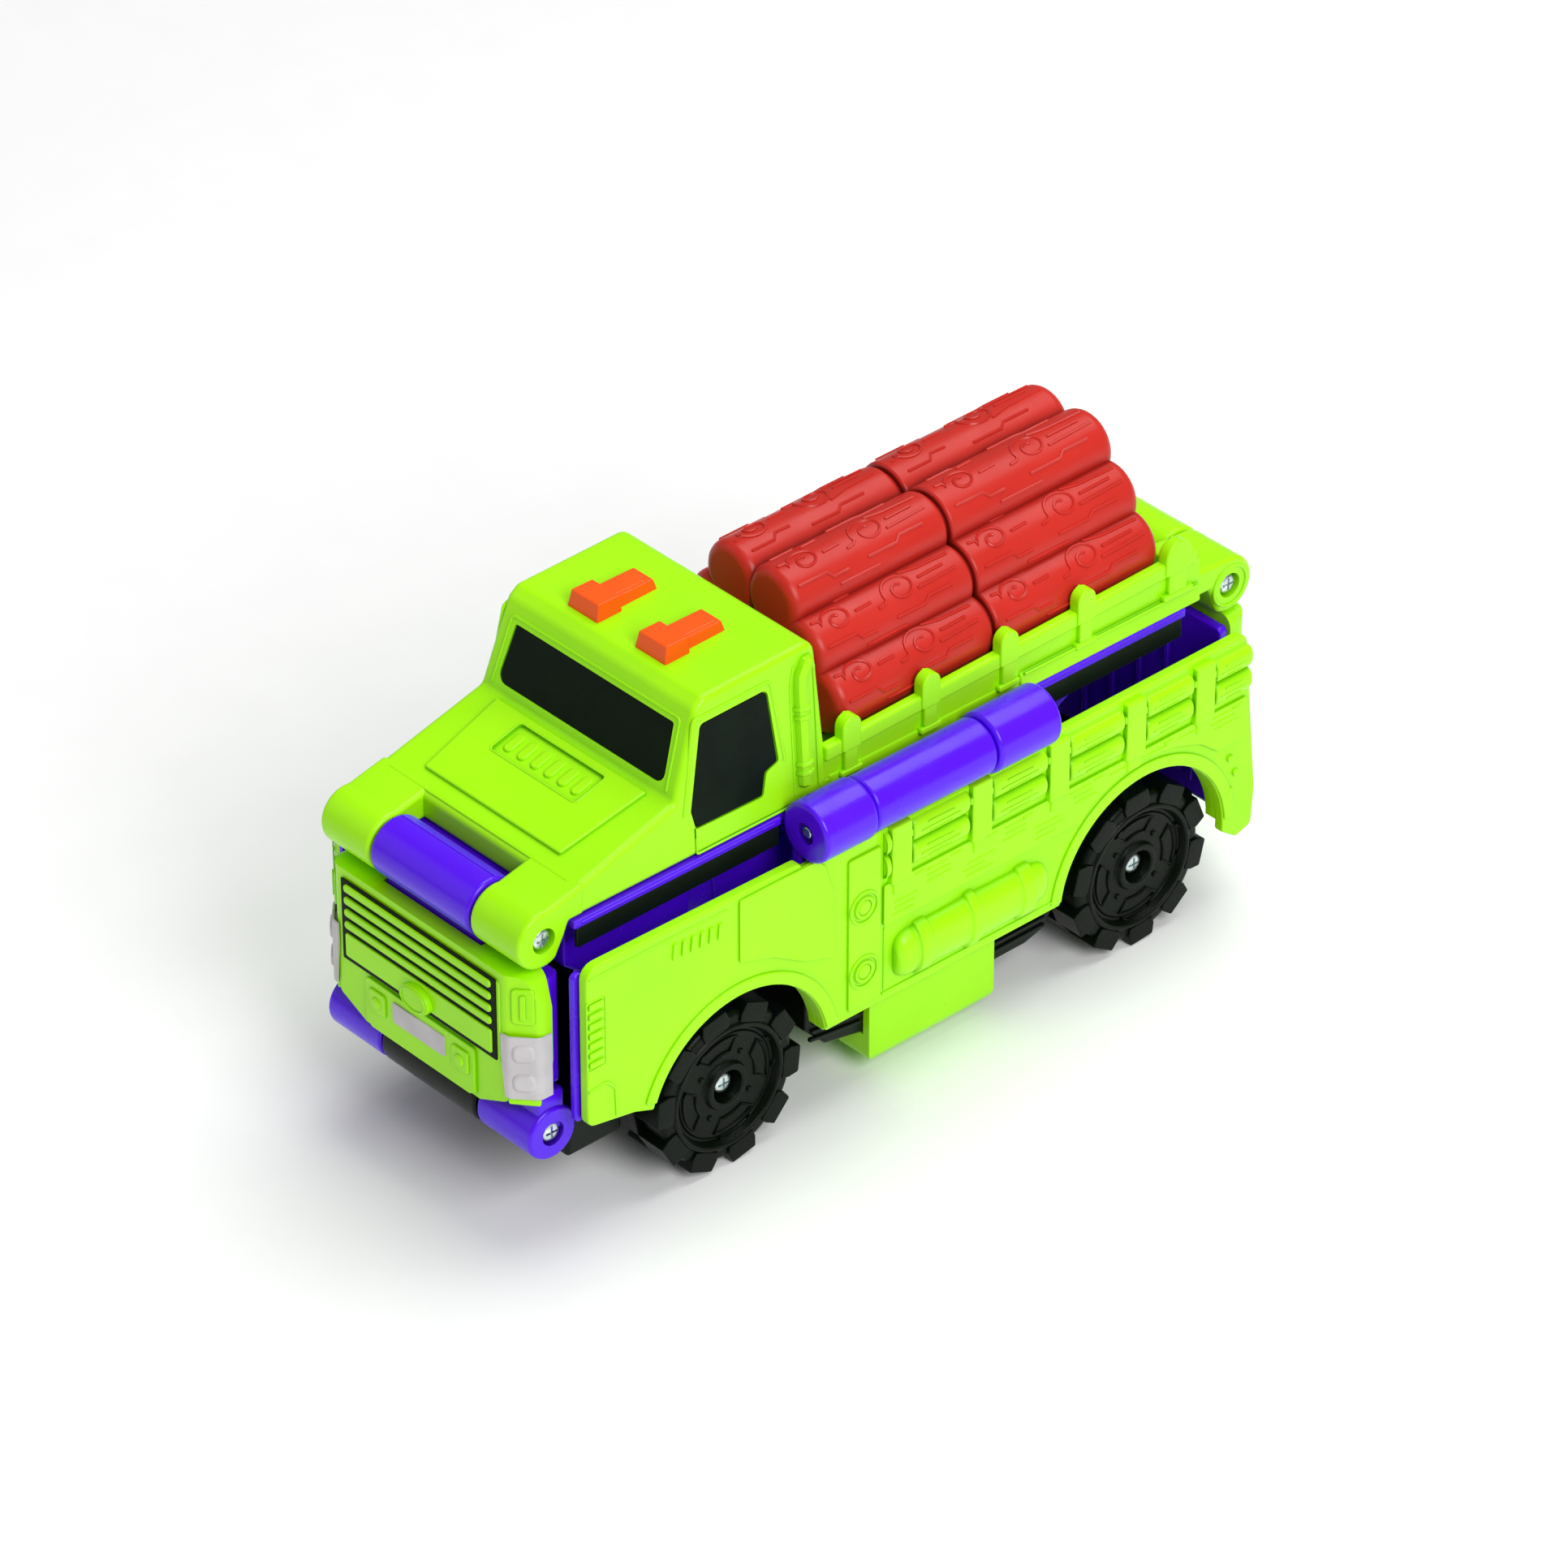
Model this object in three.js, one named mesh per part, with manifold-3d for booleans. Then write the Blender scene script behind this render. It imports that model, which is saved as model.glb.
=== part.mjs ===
// A toy log truck that turns inside out: a wheeled chassis, and a body shell on five hinges.
// Millimetres, +Z up, the bonnet towards -Y, the truck's left side towards +X, wheels on z = 0.
import * as THREE from "three";
import { mergeVertices } from "three/addons/utils/BufferGeometryUtils.js";
import Module from "manifold-3d";

const wasm = await Module();
wasm.setup();

// ---- driving dimensions ----
const frameShift = 0.78; // moves the nose-to-tail middle onto y = 0
const gap = 0.3; // running gap between touching pieces
const wall = 1.8; // moulded shell wall
const wheel = { radius: 15.5, root: 14.0, inner: 17.2, outer: 28.7, frontY: -40.5, rearY: 51.2, lugs: 10 };
const axle = { radius: 2.4, end: 24.2, bossRadius: 4.4 };
const screwSize = { headRadius: 1.85, headHeight: 1.2, shankRadius: 1.0, holeRadius: 1.3, seatPlay: 0.35 };
const wheelScrew = { head: 27.3, tip: 17.5 }; // the outer face of the head and the tip, in x
const hingeScrewTip = 5;
const chassis = { half: 25.4, spineHalf: 13, beamHalf: 22, nose: -69.1, rear: 70.4, top: 19 };
const knuckleGap = 0.4; // between a middle knuckle and the ones beside it
const lipSweep = 8.2; // the round space that the bonnet's lip turns in
const tailSweep = 7.2; // and the tail's
// the three cross hinges: where their axis runs, knuckle radius, half width and half middle knuckle
const bumperHinge = { y: -74.6, z: 21.5, radius: 4.84, half: 25.1, middle: 11.5 };
const hoodHinge = { y: -75, z: 58.5, radius: 5.2, half: 24.3, middle: 11.9 };
const tailHinge = { y: 75, z: 59, radius: 5.2, half: 24, middle: 11.8 };
// the two side hinges: knuckles run along the truck
const sideHinge = { x: 30, z: 58.7, endRadius: 5.4, middleRadius: 5, front: -25.5, rear: 26 };
const sideGap = { front: -14.3, rear: 12.3 }; // where the end knuckles meet the middle one
const panel = { inner: 26.6, linerOuter: 28.6, shellInner: 29, outer: 31, bottom: 18.7, top: 52.6 };
// how much wider than the arch the flange and the liner's hole are
const archLip = {
  shell: 0.9, liner: 1.3,
};
const frontArch = { y: -40.4, z: 16.1, radius: 18.85 };
const rearArch = { y: 49.4, z: 17.2, radius: 18.9 };
const fascia = { front: -80.2, back: -74.2, half: 25, bottom: 25, top: 52.4 };
const tail = { back: 78.6, front: 74.5, half: 25, bottom: 14, top: 53.2 };
// the purple plates, in y
const frontPlate = {
  front: -73.9, back: -71.8, armFront: -77.3, webFront: -77.4,
};
const rearPlate = { front: 72.4, back: 74.2, webBack: 76.4 };
const shell = { bottom: 59.7, sill: 24.3, roof: 88 };
const deck = { bottom: 58.1, top: 59.4, half: 25, front: -69.3, rear: 63.9 };
const bonnetHalf = 19.5;
const rail = { inner: 22.7, outer: 24.4, top: 69.3, knob: 73, posts: [-10.8, 6.2, 23.4, 40.9, 60.3, 63.6] };
const log = { radius: 6, front: -10.4, rear: 60.5, split: 23.5 };
const logRows = [[5, 84.4], [11.2, 77.5], [16, 70.5]]; // axis of each log on one side, x and z
const windscreen = {
  top: [-43.1, 82.3], bottom: [-46.2, 72.8], halfTop: 18.6, halfBottom: 19.7, off: 0.75, thick: 0.5,
};
const lightBar = {
  x: 8.1, stemHalf: 2.8, headHalf: 3.7, front: -38.4, neck: -33.3, rear: -25.2, top: 90.4,
};
const grille = { half: 18.9, bottom: 35.3, top: 51, slats: 4, frame: 1.2, bar: 0.9, thick: 0.5 };
const belly = { half: 27, front: -8.5, rear: 19.5, bottom: 2.6, top: 17 };

// ---- materials ----
function plastic(color, roughness) {
  return new THREE.MeshStandardMaterial({ color, roughness, metalness: 0 });
}
const limeGreen = () => plastic(0xa2f414, 0.35);
const purple = () => plastic(0x5c14f0, 0.3);
const black = () => plastic(0x10160f, 0.5);
const sticker = () => plastic(0x0f1a12, 0.45);
const paleSticker = () => plastic(0xd6d2d4, 0.45);
const orange = () => plastic(0xff641a, 0.35);
const logRed = () => plastic(0xcf382a, 0.4);
const zinc = () => new THREE.MeshStandardMaterial({ color: 0xc9cfd0, roughness: 0.3, metalness: 1 });

// ---- solids ----
// A closed geometry as a solid, with shared corners merged and flat triangles dropped.
function solid(geometry) {
  const bare = geometry.clone();
  bare.deleteAttribute("normal");
  bare.deleteAttribute("uv");
  const merged = mergeVertices(bare, 1e-4);
  const corners = merged.index.array;
  const kept = [];
  for (let i = 0; i < corners.length; i += 3) {
    const [a, b, c] = [corners[i], corners[i + 1], corners[i + 2]];
    if (a !== b && b !== c && c !== a) kept.push(a, b, c);
  }
  const vertProperties = Float32Array.from(merged.attributes.position.array);
  return new wasm.Manifold(new wasm.Mesh({ numProp: 3, vertProperties, triVerts: Uint32Array.from(kept) }));
}

function geometryOf(made) {
  const { vertProperties, triVerts } = made.getMesh();
  const geometry = new THREE.BufferGeometry();
  geometry.setAttribute("position", new THREE.BufferAttribute(vertProperties, 3));
  geometry.setIndex(new THREE.BufferAttribute(triVerts, 1));
  const faceted = geometry.toNonIndexed();
  faceted.computeVertexNormals();
  return faceted;
}

const axisX = new THREE.Vector3(1, 0, 0);
const axisY = new THREE.Vector3(0, 1, 0);
const axisZ = new THREE.Vector3(0, 0, 1);
const bases = {
  x: new THREE.Matrix4().makeBasis(axisY, axisZ, axisX), // an outline drawn in y, z
  y: new THREE.Matrix4().makeBasis(axisX, axisZ, axisY.clone().negate()), // drawn in x, z
  z: new THREE.Matrix4(), // drawn in x, y
};

// An outline swept along one axis from one coordinate to another.
function sweep(axis, outline, from, to) {
  const options = { depth: to - from, bevelEnabled: false, curveSegments: 5 };
  const geometry = new THREE.ExtrudeGeometry(outline, options);
  geometry.applyMatrix4(bases[axis]);
  if (axis === "x") geometry.translate(from, 0, 0);
  if (axis === "y") geometry.translate(0, to, 0);
  if (axis === "z") geometry.translate(0, 0, from);
  return solid(geometry);
}

// A closed outline through points [a, b] or [a, b, corner radius].
function outlineOf(points) {
  const shape = new THREE.Shape();
  const count = points.length;
  points.forEach(([a, b, radius = 0], i) => {
    const here = new THREE.Vector2(a, b);
    const before = new THREE.Vector2(...points[(i + count - 1) % count].slice(0, 2));
    const after = new THREE.Vector2(...points[(i + 1) % count].slice(0, 2));
    const start = here.clone().add(before.sub(here).setLength(radius));
    const end = here.clone().add(after.sub(here).setLength(radius));
    if (i === 0) shape.moveTo(start.x, start.y);
    else shape.lineTo(start.x, start.y);
    if (radius > 0) shape.quadraticCurveTo(a, b, end.x, end.y);
  });
  shape.closePath();
  return shape;
}

function circle(a, b, radius, sides) {
  const points = [];
  for (let i = 0; i < sides; i += 1) {
    const turn = ((i + 0.5) / sides) * 2 * Math.PI;
    points.push([a + radius * Math.cos(turn), b + radius * Math.sin(turn)]);
  }
  return outlineOf(points);
}

const polygon = (axis, points, from, to) => sweep(axis, outlineOf(points), from, to);
const rod = (
  axis, a, b, radius, from, to, sides = 20,
) => sweep(axis, circle(a, b, radius, sides), from, to);

function block(x, y, z) {
  const geometry = new THREE.BoxGeometry(x[1] - x[0], y[1] - y[0], z[1] - z[0]);
  geometry.translate((x[0] + x[1]) / 2, (y[0] + y[1]) / 2, (z[0] + z[1]) / 2);
  return solid(geometry);
}

const join = (pieces) => pieces.reduce((whole, piece) => whole.add(piece));
const cut = (body, tools) => tools.reduce((whole, tool) => whole.subtract(tool), body);
const mirrored = (made) => made.mirror([1, 0, 0]);

// A screw lying along X on the +X side: its head's outer face at headEnd, its tip at tip.
function screwAlongX(y, z, headEnd, tip) {
  const headBase = headEnd - screwSize.headHeight;
  const head = rod("x", y, z, screwSize.headRadius, headBase, headEnd, 16);
  return head.add(rod("x", y, z, screwSize.shankRadius, tip, headBase + 0.1, 12));
}

// The clear hole and counterbore for such a screw.
function screwSpaceAlongX(y, z, face, tip) {
  const depth = screwSize.headHeight + 2 * gap;
  const seat = rod("x", y, z, screwSize.headRadius + screwSize.seatPlay, face - depth, face + 1, 16);
  return seat.add(rod("x", y, z, screwSize.holeRadius, tip - gap, face, 12));
}

// ---- the group ----
const group = new THREE.Group();
group.position.set(0, frameShift, 0);

function place(name, made, material) {
  const mesh = new THREE.Mesh(geometryOf(made), material);
  mesh.name = name;
  group.add(mesh);
}

function placePair(name, made, material) {
  place(`${name}_left`, made, material());
  place(`${name}_right`, mirrored(made), material());
}

const wheelPlaces = [["front", wheel.frontY], ["rear", wheel.rearY]];

// ---- chassis ----
function chassisFrame() {
  const sill = [
    [-21.3, 15.4], [-16.7, 10.7], [-8.3, 9], [28, 9.2], [32.6, 10.4], [34, 13], [34, 22],
    [-21.3, 22],
  ];
  const { half, spineHalf, beamHalf, nose, rear, top } = chassis;
  const tray = polygon("x", sill, -half, half);
  const trayHollow = block([-half + 2, half - 2], [-18, 32], [11.6, 30]);
  const frontSpine = block([-spineHalf, spineHalf], [nose, -17.5], [9.5, top]);
  const rearSpine = block([-spineHalf, spineHalf], [31.5, rear], [9.5, top]);
  const noseBeam = block([-beamHalf, beamHalf], [nose, -57.5], [12, top]);
  const tailBeam = block([-beamHalf, beamHalf], [rear - 3, rear], [10, top]);
  const knuckle = rod(
    "x", bumperHinge.y, bumperHinge.z, bumperHinge.radius, -bumperHinge.middle, bumperHinge.middle,
  );
  const neck = block([-bumperHinge.middle, bumperHinge.middle], [bumperHinge.y, -68.5], [17.3, 22]);
  const parts = [cut(tray, [trayHollow]), frontSpine, rearSpine, noseBeam, tailBeam, knuckle, neck];
  const holes = [screwSpaceAlongX(bumperHinge.y, bumperHinge.z, bumperHinge.half, hingeScrewTip)];
  for (const [, y] of wheelPlaces) {
    parts.push(rod("x", y, wheel.radius, axle.bossRadius, -wheel.inner + gap, wheel.inner - gap, 16));
    parts.push(rod("x", y, wheel.radius, axle.radius, -axle.end, axle.end, 16));
    holes.push(screwSpaceAlongX(y, wheel.radius, wheelScrew.head, wheelScrew.tip));
  }
  return cut(join(parts), [...holes, ...holes.map(mirrored)]);
}

function bellyBlock() {
  const { half, front, rear, bottom, top } = belly;
  const section = [[-half, top], [-half, bottom, 2.5], [half, bottom, 2.5], [half, top]];
  const side = [[front, top], [front, bottom, 3], [rear, bottom, 2], [rear, top]];
  const body = polygon("y", section, front, rear).intersect(polygon("x", side, -half, half));
  return cut(body, [block([-half + 1.3, half - 1.3], [front - 1, rear + 1], [8.6, top + 1])]);
}

// A chunky wheel on the +X side, about its own axle line at y = 0, z = 0.
function wheelBody() {
  const points = [];
  const pitch = (2 * Math.PI) / wheel.lugs;
  const flat = wheel.radius / Math.cos(0.2 * pitch);
  for (let i = 0; i < wheel.lugs; i += 1) {
    const middle = -Math.PI / 2 + i * pitch;
    const ring = [[-0.33, wheel.root], [-0.2, flat], [0.2, flat], [0.33, wheel.root]];
    for (const [step, radius] of ring) {
      const turn = middle + step * pitch;
      points.push([radius * Math.cos(turn), radius * Math.sin(turn)]);
    }
  }
  const tread = polygon("x", points, wheel.inner, wheel.outer);
  const dish = rod("x", 0, 0, 10.8, wheel.outer - 1.6, wheel.outer + 1, 32);
  const hub = rod("x", 0, 0, 4, 24, wheel.outer - 0.4, 24);
  const bore = rod("x", 0, 0, axle.radius + 0.4, wheel.inner - 1, axle.end + gap, 20);
  const shankHole = rod("x", 0, 0, screwSize.holeRadius + 0.1, axle.end, wheel.outer, 12);
  const seat = rod("x", 0, 0, screwSize.headRadius + 0.5, 25.8, wheel.outer + 1, 20);
  return cut(cut(tread, [dish]).add(hub), [bore, shankHole, seat]);
}

place("chassis_frame", chassisFrame(), black());
place("belly_block", bellyBlock(), limeGreen());
for (const [end, y] of wheelPlaces) {
  placePair(`wheel_${end}`, wheelBody().translate([0, y, wheel.radius]), black);
  placePair(`wheel_screw_${end}`, screwAlongX(y, wheel.radius, wheelScrew.head, wheelScrew.tip), zinc);
}
placePair(
  "bumper_screw", screwAlongX(bumperHinge.y, bumperHinge.z, bumperHinge.half - gap, hingeScrewTip),
  zinc,
);

// ---- front panel: lime fascia outside, purple liner and knuckles inside ----
const hoodSweep = rod("x", hoodHinge.y, hoodHinge.z, lipSweep, -40, 40, 32);

function frontLiner() {
  const { y, z, radius, half, middle } = bumperHinge;
  const plate = [[-24.8, 30], [-21, 26.8], [21, 26.8], [24.8, 30], [24.8, 51.5], [-24.8, 51.5]];
  const back = polygon("y", plate, frontPlate.front, frontPlate.back);
  const hoodWeb = block(
    [-hoodHinge.middle, hoodHinge.middle], [frontPlate.webFront, frontPlate.back], [48, 57],
  );
  const hoodKnuckle = rod(
    "x", hoodHinge.y, hoodHinge.z, hoodHinge.radius, -hoodHinge.middle, hoodHinge.middle,
  );
  const knuckle = rod("x", y, z, radius, middle + knuckleGap, half);
  const arm = block([middle + knuckleGap, 24.4], [frontPlate.armFront, frontPlate.back], [z, 29]);
  const outer = knuckle.add(arm);
  const body = join([cut(back, [hoodSweep]), hoodWeb, hoodKnuckle, outer, mirrored(outer)]);
  const holes = [
    screwSpaceAlongX(y, z, half, hingeScrewTip),
    screwSpaceAlongX(hoodHinge.y, hoodHinge.z, hoodHinge.half, hingeScrewTip),
  ];
  return cut(body, [...holes, ...holes.map(mirrored)]);
}

function frontFascia() {
  const { front, back, half, bottom, top } = fascia;
  const plan = [
    [-half, back], [-half, -76.5, 1.5], [-20.8, front, 1.5], [20.8, front, 1.5], [half, -76.5, 1.5],
    [half, back],
  ];
  const innerPlan = [
    [-half + wall, back + 1], [-half + wall, -76], [-20, front + wall], [20, front + wall],
  ];
  innerPlan.push([half - wall, -76], [half - wall, back + 1]);
  const face = [[-half, 35, 3], [-20.6, 28, 3], [-14, bottom], [14, bottom], [20.6, 28, 3], [half, 35, 3]];
  face.push([half, 46], [23.4, top, 2], [-23.4, top, 2], [-half, 46]);
  const outer = polygon("z", plan, bottom - 1, top + 1).intersect(polygon("y", face, front - 1, back));
  const knuckleSpace = rod("x", bumperHinge.y, bumperHinge.z, bumperHinge.radius + gap, -40, 40, 32);
  const armSpace = block([-24.7, 24.7], [-77.7, -70], [20, 29.3]);
  const webSpace = block([-12.2, 12.2], [-77.7, -70], [47.7, 60]);
  const hollow = polygon("z", innerPlan, bottom - 5, top + 5);
  return cut(outer, [hollow, hoodSweep, knuckleSpace, armSpace, webSpace]);
}

function grilleFrame() {
  const { half, bottom, top, slats, frame, bar, thick } = grille;
  const [near, far] = [fascia.front - gap - thick, fascia.front - gap];
  const inside = [-half + frame, half - frame];
  const fieldTop = bottom + 5.2;
  const bars = block([-half, half], [near, far], [bottom, top]);
  const field = block(inside, [near - 1, far + 1], [bottom + 1, fieldTop]);
  const pitch = (top - fieldTop - 1) / slats;
  const windows = [field];
  for (let i = 0; i < slats; i += 1) {
    const low = fieldTop + 1 + i * pitch;
    windows.push(block(inside, [near - 1, far + 1], [low, low + pitch - bar]));
  }
  const badgeSpace = rod("y", 0, bottom + 2.2, 3.8, near - 1, far + 1, 24);
  return cut(bars, [...windows, badgeSpace]);
}

function badgeDisc() {
  const disc = rod("y", 0, 0, 3.5, fascia.front - 1.5, fascia.front - gap, 28);
  return disc.scale([1, 1, 0.68]).translate([0, 0, grille.bottom + 2.2]);
}

// A lamp cover that wraps the fascia's lower corner.
function headlamp() {
  const plan = [[20.9, -80.9], [25.6, -77], [25.6, -74.4], [25.3, -74.4], [25.3, -76.7], [20.9, -80.5]];
  return polygon("z", plan, 29.2, 41.2);
}

place("front_liner", frontLiner(), purple());
place("front_fascia", frontFascia(), limeGreen());
place("grille_frame", grilleFrame(), sticker());
place("badge_disc", badgeDisc(), limeGreen());
place(
  "licence_plate", block([-6.4, 6.4], [fascia.front - 1.2, fascia.front - gap], [29.6, 33.2]),
  paleSticker(),
);
placePair("headlamp", headlamp(), paleSticker);
placePair("hood_screw", screwAlongX(hoodHinge.y, hoodHinge.z, hoodHinge.half - gap, hingeScrewTip), zinc);

// ---- top module: lime hood, cab and log bed above, purple deck and second cab below ----
function cabAndHood() {
  const bottom = shell.bottom;
  const side = [
    [-68.6, bottom], [-68.6, 64.7, 1], [-47.4, 70.8], [-46.7, 72.2], [-42.4, 84.6, 1.8],
    [-40.4, 87.4, 1.4],
  ];
  side.push([-16.6, shell.roof, 2], [-14.8, bottom]);
  const section = [
    [-24.3, bottom], [-23.6, 74], [-22.4, shell.roof, 2.5], [22.4, shell.roof, 2.5], [23.6, 74],
    [24.3, bottom],
  ];
  const outer = polygon("x", side, -25, 25).intersect(polygon("y", section, -80, -10));
  const insideSide = [
    [-66.8, 50], [-66.8, 63.1], [-48.6, 68.6], [-45.8, 71], [-41, 84.6], [-38.6, 86], [-18.4, 86.2],
    [-16.6, 50],
  ];
  const insideSection = [[-22.5, 50], [-21.8, 74], [-20.6, 86.2], [20.6, 86.2], [21.8, 74], [22.5, 50]];
  const hollow = polygon("x", insideSide, -25, 25).intersect(polygon("y", insideSection, -80, -10));
  const hoodPanel = polygon("x", [[-64.7, 65], [-64.7, 66.4], [-47.8, 71.2], [-47.8, 69]], -17.5, 17.5);
  return cut(outer, [hollow]).add(hoodPanel);
}

// The knuckles at one end of the shell, on the +X side, with the web that carries them.
function ear(hinge, web) {
  const inner = hinge.middle + knuckleGap;
  return rod(
    "x", hinge.y, hinge.z, hinge.radius, inner, hinge.half,
  ).add(polygon("x", web, inner, hinge.half));
}

function logBed() {
  const bottom = shell.bottom;
  const floor = block([-shell.sill, shell.sill], [-16, 68], [bottom, bottom + 2]);
  const rearSill = [[-25, bottom], [-24.4, 63.5], [24.4, 63.5], [25, bottom]];
  const sill = cut(polygon("y", rearSill, 27, 67.8), [block([-22, 22], [20, 66], [bottom + 1, 70])]);
  const board = block([rail.inner, rail.outer], [-16, 67.8], [bottom, rail.top]);
  const tailboard = block([-24, 24], [66, 67.8], [bottom, 64.5]);
  const parts = [floor, sill, board, mirrored(board), tailboard];
  for (const y of rail.posts) {
    const width = y > 62 ? 1.5 : 2;
    const crown = rail.knob - (y > 62 ? 1 : 0);
    const post = [
      [y - width, bottom + 1], [y + width, bottom + 1], [y + width, crown, width],
      [y - width, crown, width],
    ];
    const knob = polygon("x", post, rail.inner, 24.8);
    parts.push(knob, mirrored(knob));
  }
  return join(parts);
}

function topShell() {
  const frontWeb = [[-75, 63.6], [-67.2, 65], [-67.2, 59.7], [-71, 59.7]];
  const rearWeb = [[66.4, shell.bottom], [66.4, 64.5], [75, 64.1], [71, shell.bottom]];
  const ears = [ear(hoodHinge, frontWeb), ear(tailHinge, rearWeb)];
  const body = join([cabAndHood(), logBed(), ...ears, ...ears.map(mirrored)]);
  const holes = [hoodHinge, tailHinge].map(({ y, z, half }) => screwSpaceAlongX(y, z, half, hingeScrewTip));
  return cut(body, [...holes, ...holes.map(mirrored)]);
}

// The purple deck, its side knuckles, and the second vehicle's cab hanging under it.
function secondRoof() {
  const plate = block([-deck.half, deck.half], [deck.front, deck.rear], [deck.bottom, deck.top]);
  const cabSide = [[-46, 59], [-41, 40, 3], [-33, 35, 3], [20, 34, 3], [28, 40, 4], [44, 50, 3], [46, 59]];
  const cabSection = [[-20.5, 59], [-17.5, 34, 4], [17.5, 34, 4], [20.5, 59]];
  const insideSide = [
    [-44.2, 62], [-39.4, 41], [-32, 36.6], [19, 35.6], [26.6, 41.6], [42.4, 51.4], [44.2, 62],
  ];
  const insideSection = [[-19, 62], [-16, 35.6], [16, 35.6], [19, 62]];
  const cab = polygon("x", cabSide, -25, 25).intersect(polygon("y", cabSection, -60, 60));
  const hollow = polygon("x", insideSide, -25, 25).intersect(polygon("y", insideSection, -60, 60));
  // the second bonnet, open upwards like the cab behind it
  const bonnetSide = [[-67, 58.6], [-67, 47, 2], [-62.5, 43.5, 2], [-40.5, 41.6], [-40.5, 58.6]];
  const bonnet = polygon("x", bonnetSide, -bonnetHalf, bonnetHalf);
  const bonnetInside = [[-65.2, 62], [-65.2, 47.5], [-61.5, 45], [-46.5, 43.4], [-46.5, 62]];
  const bonnetHollow = polygon("x", bonnetInside, -bonnetHalf + wall, bonnetHalf - wall);
  const { x, z, middleRadius, front, rear } = sideHinge;
  const [from, to] = [sideGap.front + gap, sideGap.rear - gap];
  const knuckle = rod("y", x, z, middleRadius, from, to);
  const web = block([24.5, 27], [from, to], [z - 2, z + 0.7]);
  const side = knuckle.add(web);
  const notches = [
    block([24.2, 40], [front - gap, from], [50, 70]),
    block([24.2, 40], [to, rear + gap], [50, 70]),
  ];
  const pinHole = rod("y", x, z, screwSize.holeRadius, front - 1, rear + 1, 12);
  const tools = [...notches, ...notches.map(mirrored)];
  const body = cut(join([plate, cab, bonnet]), [hollow, bonnetHollow, ...tools]);
  return cut(join([body, side, mirrored(side)]), [pinHole, mirrored(pinHole)]);
}

function windscreenPane() {
  const { top, bottom, halfTop, halfBottom, off, thick } = windscreen;
  const lean = (top[0] - bottom[0]) / (top[1] - bottom[1]);
  const at = (z) => bottom[0] + (z - bottom[1]) * lean - off;
  const leaf = [[at(bottom[1]), bottom[1]], [at(top[1]), top[1]], [at(top[1]) - thick, top[1]]];
  leaf.push([at(bottom[1]) - thick, bottom[1]]);
  const face = [
    [-halfBottom, bottom[1], 1.5], [halfBottom, bottom[1], 1.5], [halfTop, top[1]],
    [-halfTop, top[1]],
  ];
  return polygon("x", leaf, -20, 20).intersect(polygon("y", face, -55, -35));
}

function sidePane() {
  const pane = [
    [-42.2, 64.2], [-43, 67.5], [-40.1, 82.2], [-26.7, 82.7], [-25, 69], [-27.6, 67.6],
    [-28.2, 64.4],
  ];
  const lean = [[24.5, 63], [23.9, 74], [23.1, 84], [23.5, 84], [24.4, 74], [25, 63]];
  return polygon("x", pane, 20, 30).intersect(polygon("y", lean, -50, -20));
}

// A T-shaped roof light: a long plate with a wider, taller head at its front.
function roofLight() {
  const { x, stemHalf, headHalf, front, neck, rear, top } = lightBar;
  const stem = block([x - stemHalf, x + stemHalf], [neck - 2, rear], [shell.roof - 1, top - 1]);
  const head = block([x - headHalf, x + headHalf], [front, neck], [shell.roof - 1, top]);
  const roofSpace = polygon("x", [[-45, 80], [-45, 87.7], [-16, 88.3], [-16, 80]], -30, 30);
  return cut(stem.add(head), [roofSpace]);
}

function logLoad() {
  const halves = [];
  for (const side of [-1, 1]) {
    for (const [x, z] of logRows) {
      halves.push(rod("y", side * x, z, log.radius, log.front, log.split - 0.5, 18));
      halves.push(rod("y", side * x, z, log.radius, log.split + 0.5, log.rear, 18));
      halves.push(rod("y", side * x, z, log.radius - 0.9, log.front + 1, log.rear - 1, 12));
    }
  }
  const core = [[-15, 64.5], [15, 64.5], [15, 72], [9, 79], [4, 86], [-4, 86], [-9, 79], [-15, 72]];
  return join([...halves, polygon("y", core, log.front + 0.5, log.rear - 0.5)]);
}

place("top_shell", topShell(), limeGreen());
place("second_roof", secondRoof(), purple());
place("windscreen", windscreenPane(), sticker());
placePair("side_window", sidePane(), sticker);
placePair("roof_light", roofLight(), orange);
place("log_load", logLoad(), logRed());
placePair("tail_screw", screwAlongX(tailHinge.y, tailHinge.z, tailHinge.half - gap, hingeScrewTip), zinc);

// ---- rear panel ----
function rearLiner() {
  const back = [[-24.6, 16], [24.6, 16], [24.6, 51.5], [-24.6, 51.5]];
  const web = block([-tailHinge.middle, tailHinge.middle], [rearPlate.front, rearPlate.webBack], [47, 58]);
  const knuckle = rod("x", tailHinge.y, tailHinge.z, tailHinge.radius, -tailHinge.middle, tailHinge.middle);
  const body = join([polygon("y", back, rearPlate.front, rearPlate.back), web, knuckle]);
  const hole = screwSpaceAlongX(tailHinge.y, tailHinge.z, tailHinge.half, hingeScrewTip);
  return cut(body, [hole, mirrored(hole)]);
}

function rearShell() {
  const { back, front, half, bottom, top } = tail;
  const plan = [[-half, front], [half, front], [half, back, 2], [-half, back, 2]];
  const face = [[-half, bottom, 2], [half, bottom, 2], [half, top, 2], [-half, top, 2]];
  const outer = polygon("z", plan, bottom - 1, top + 1).intersect(polygon("y", face, front - 1, back + 1));
  const hollow = block([-half + wall, half - wall], [front - 1, back - wall], [bottom + wall, 70]);
  const turning = rod("x", tailHinge.y, tailHinge.z, tailSweep, -40, 40, 32);
  return cut(outer, [hollow, turning]);
}

place("rear_liner", rearLiner(), purple());
place("rear_shell", rearShell(), limeGreen());

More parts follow.
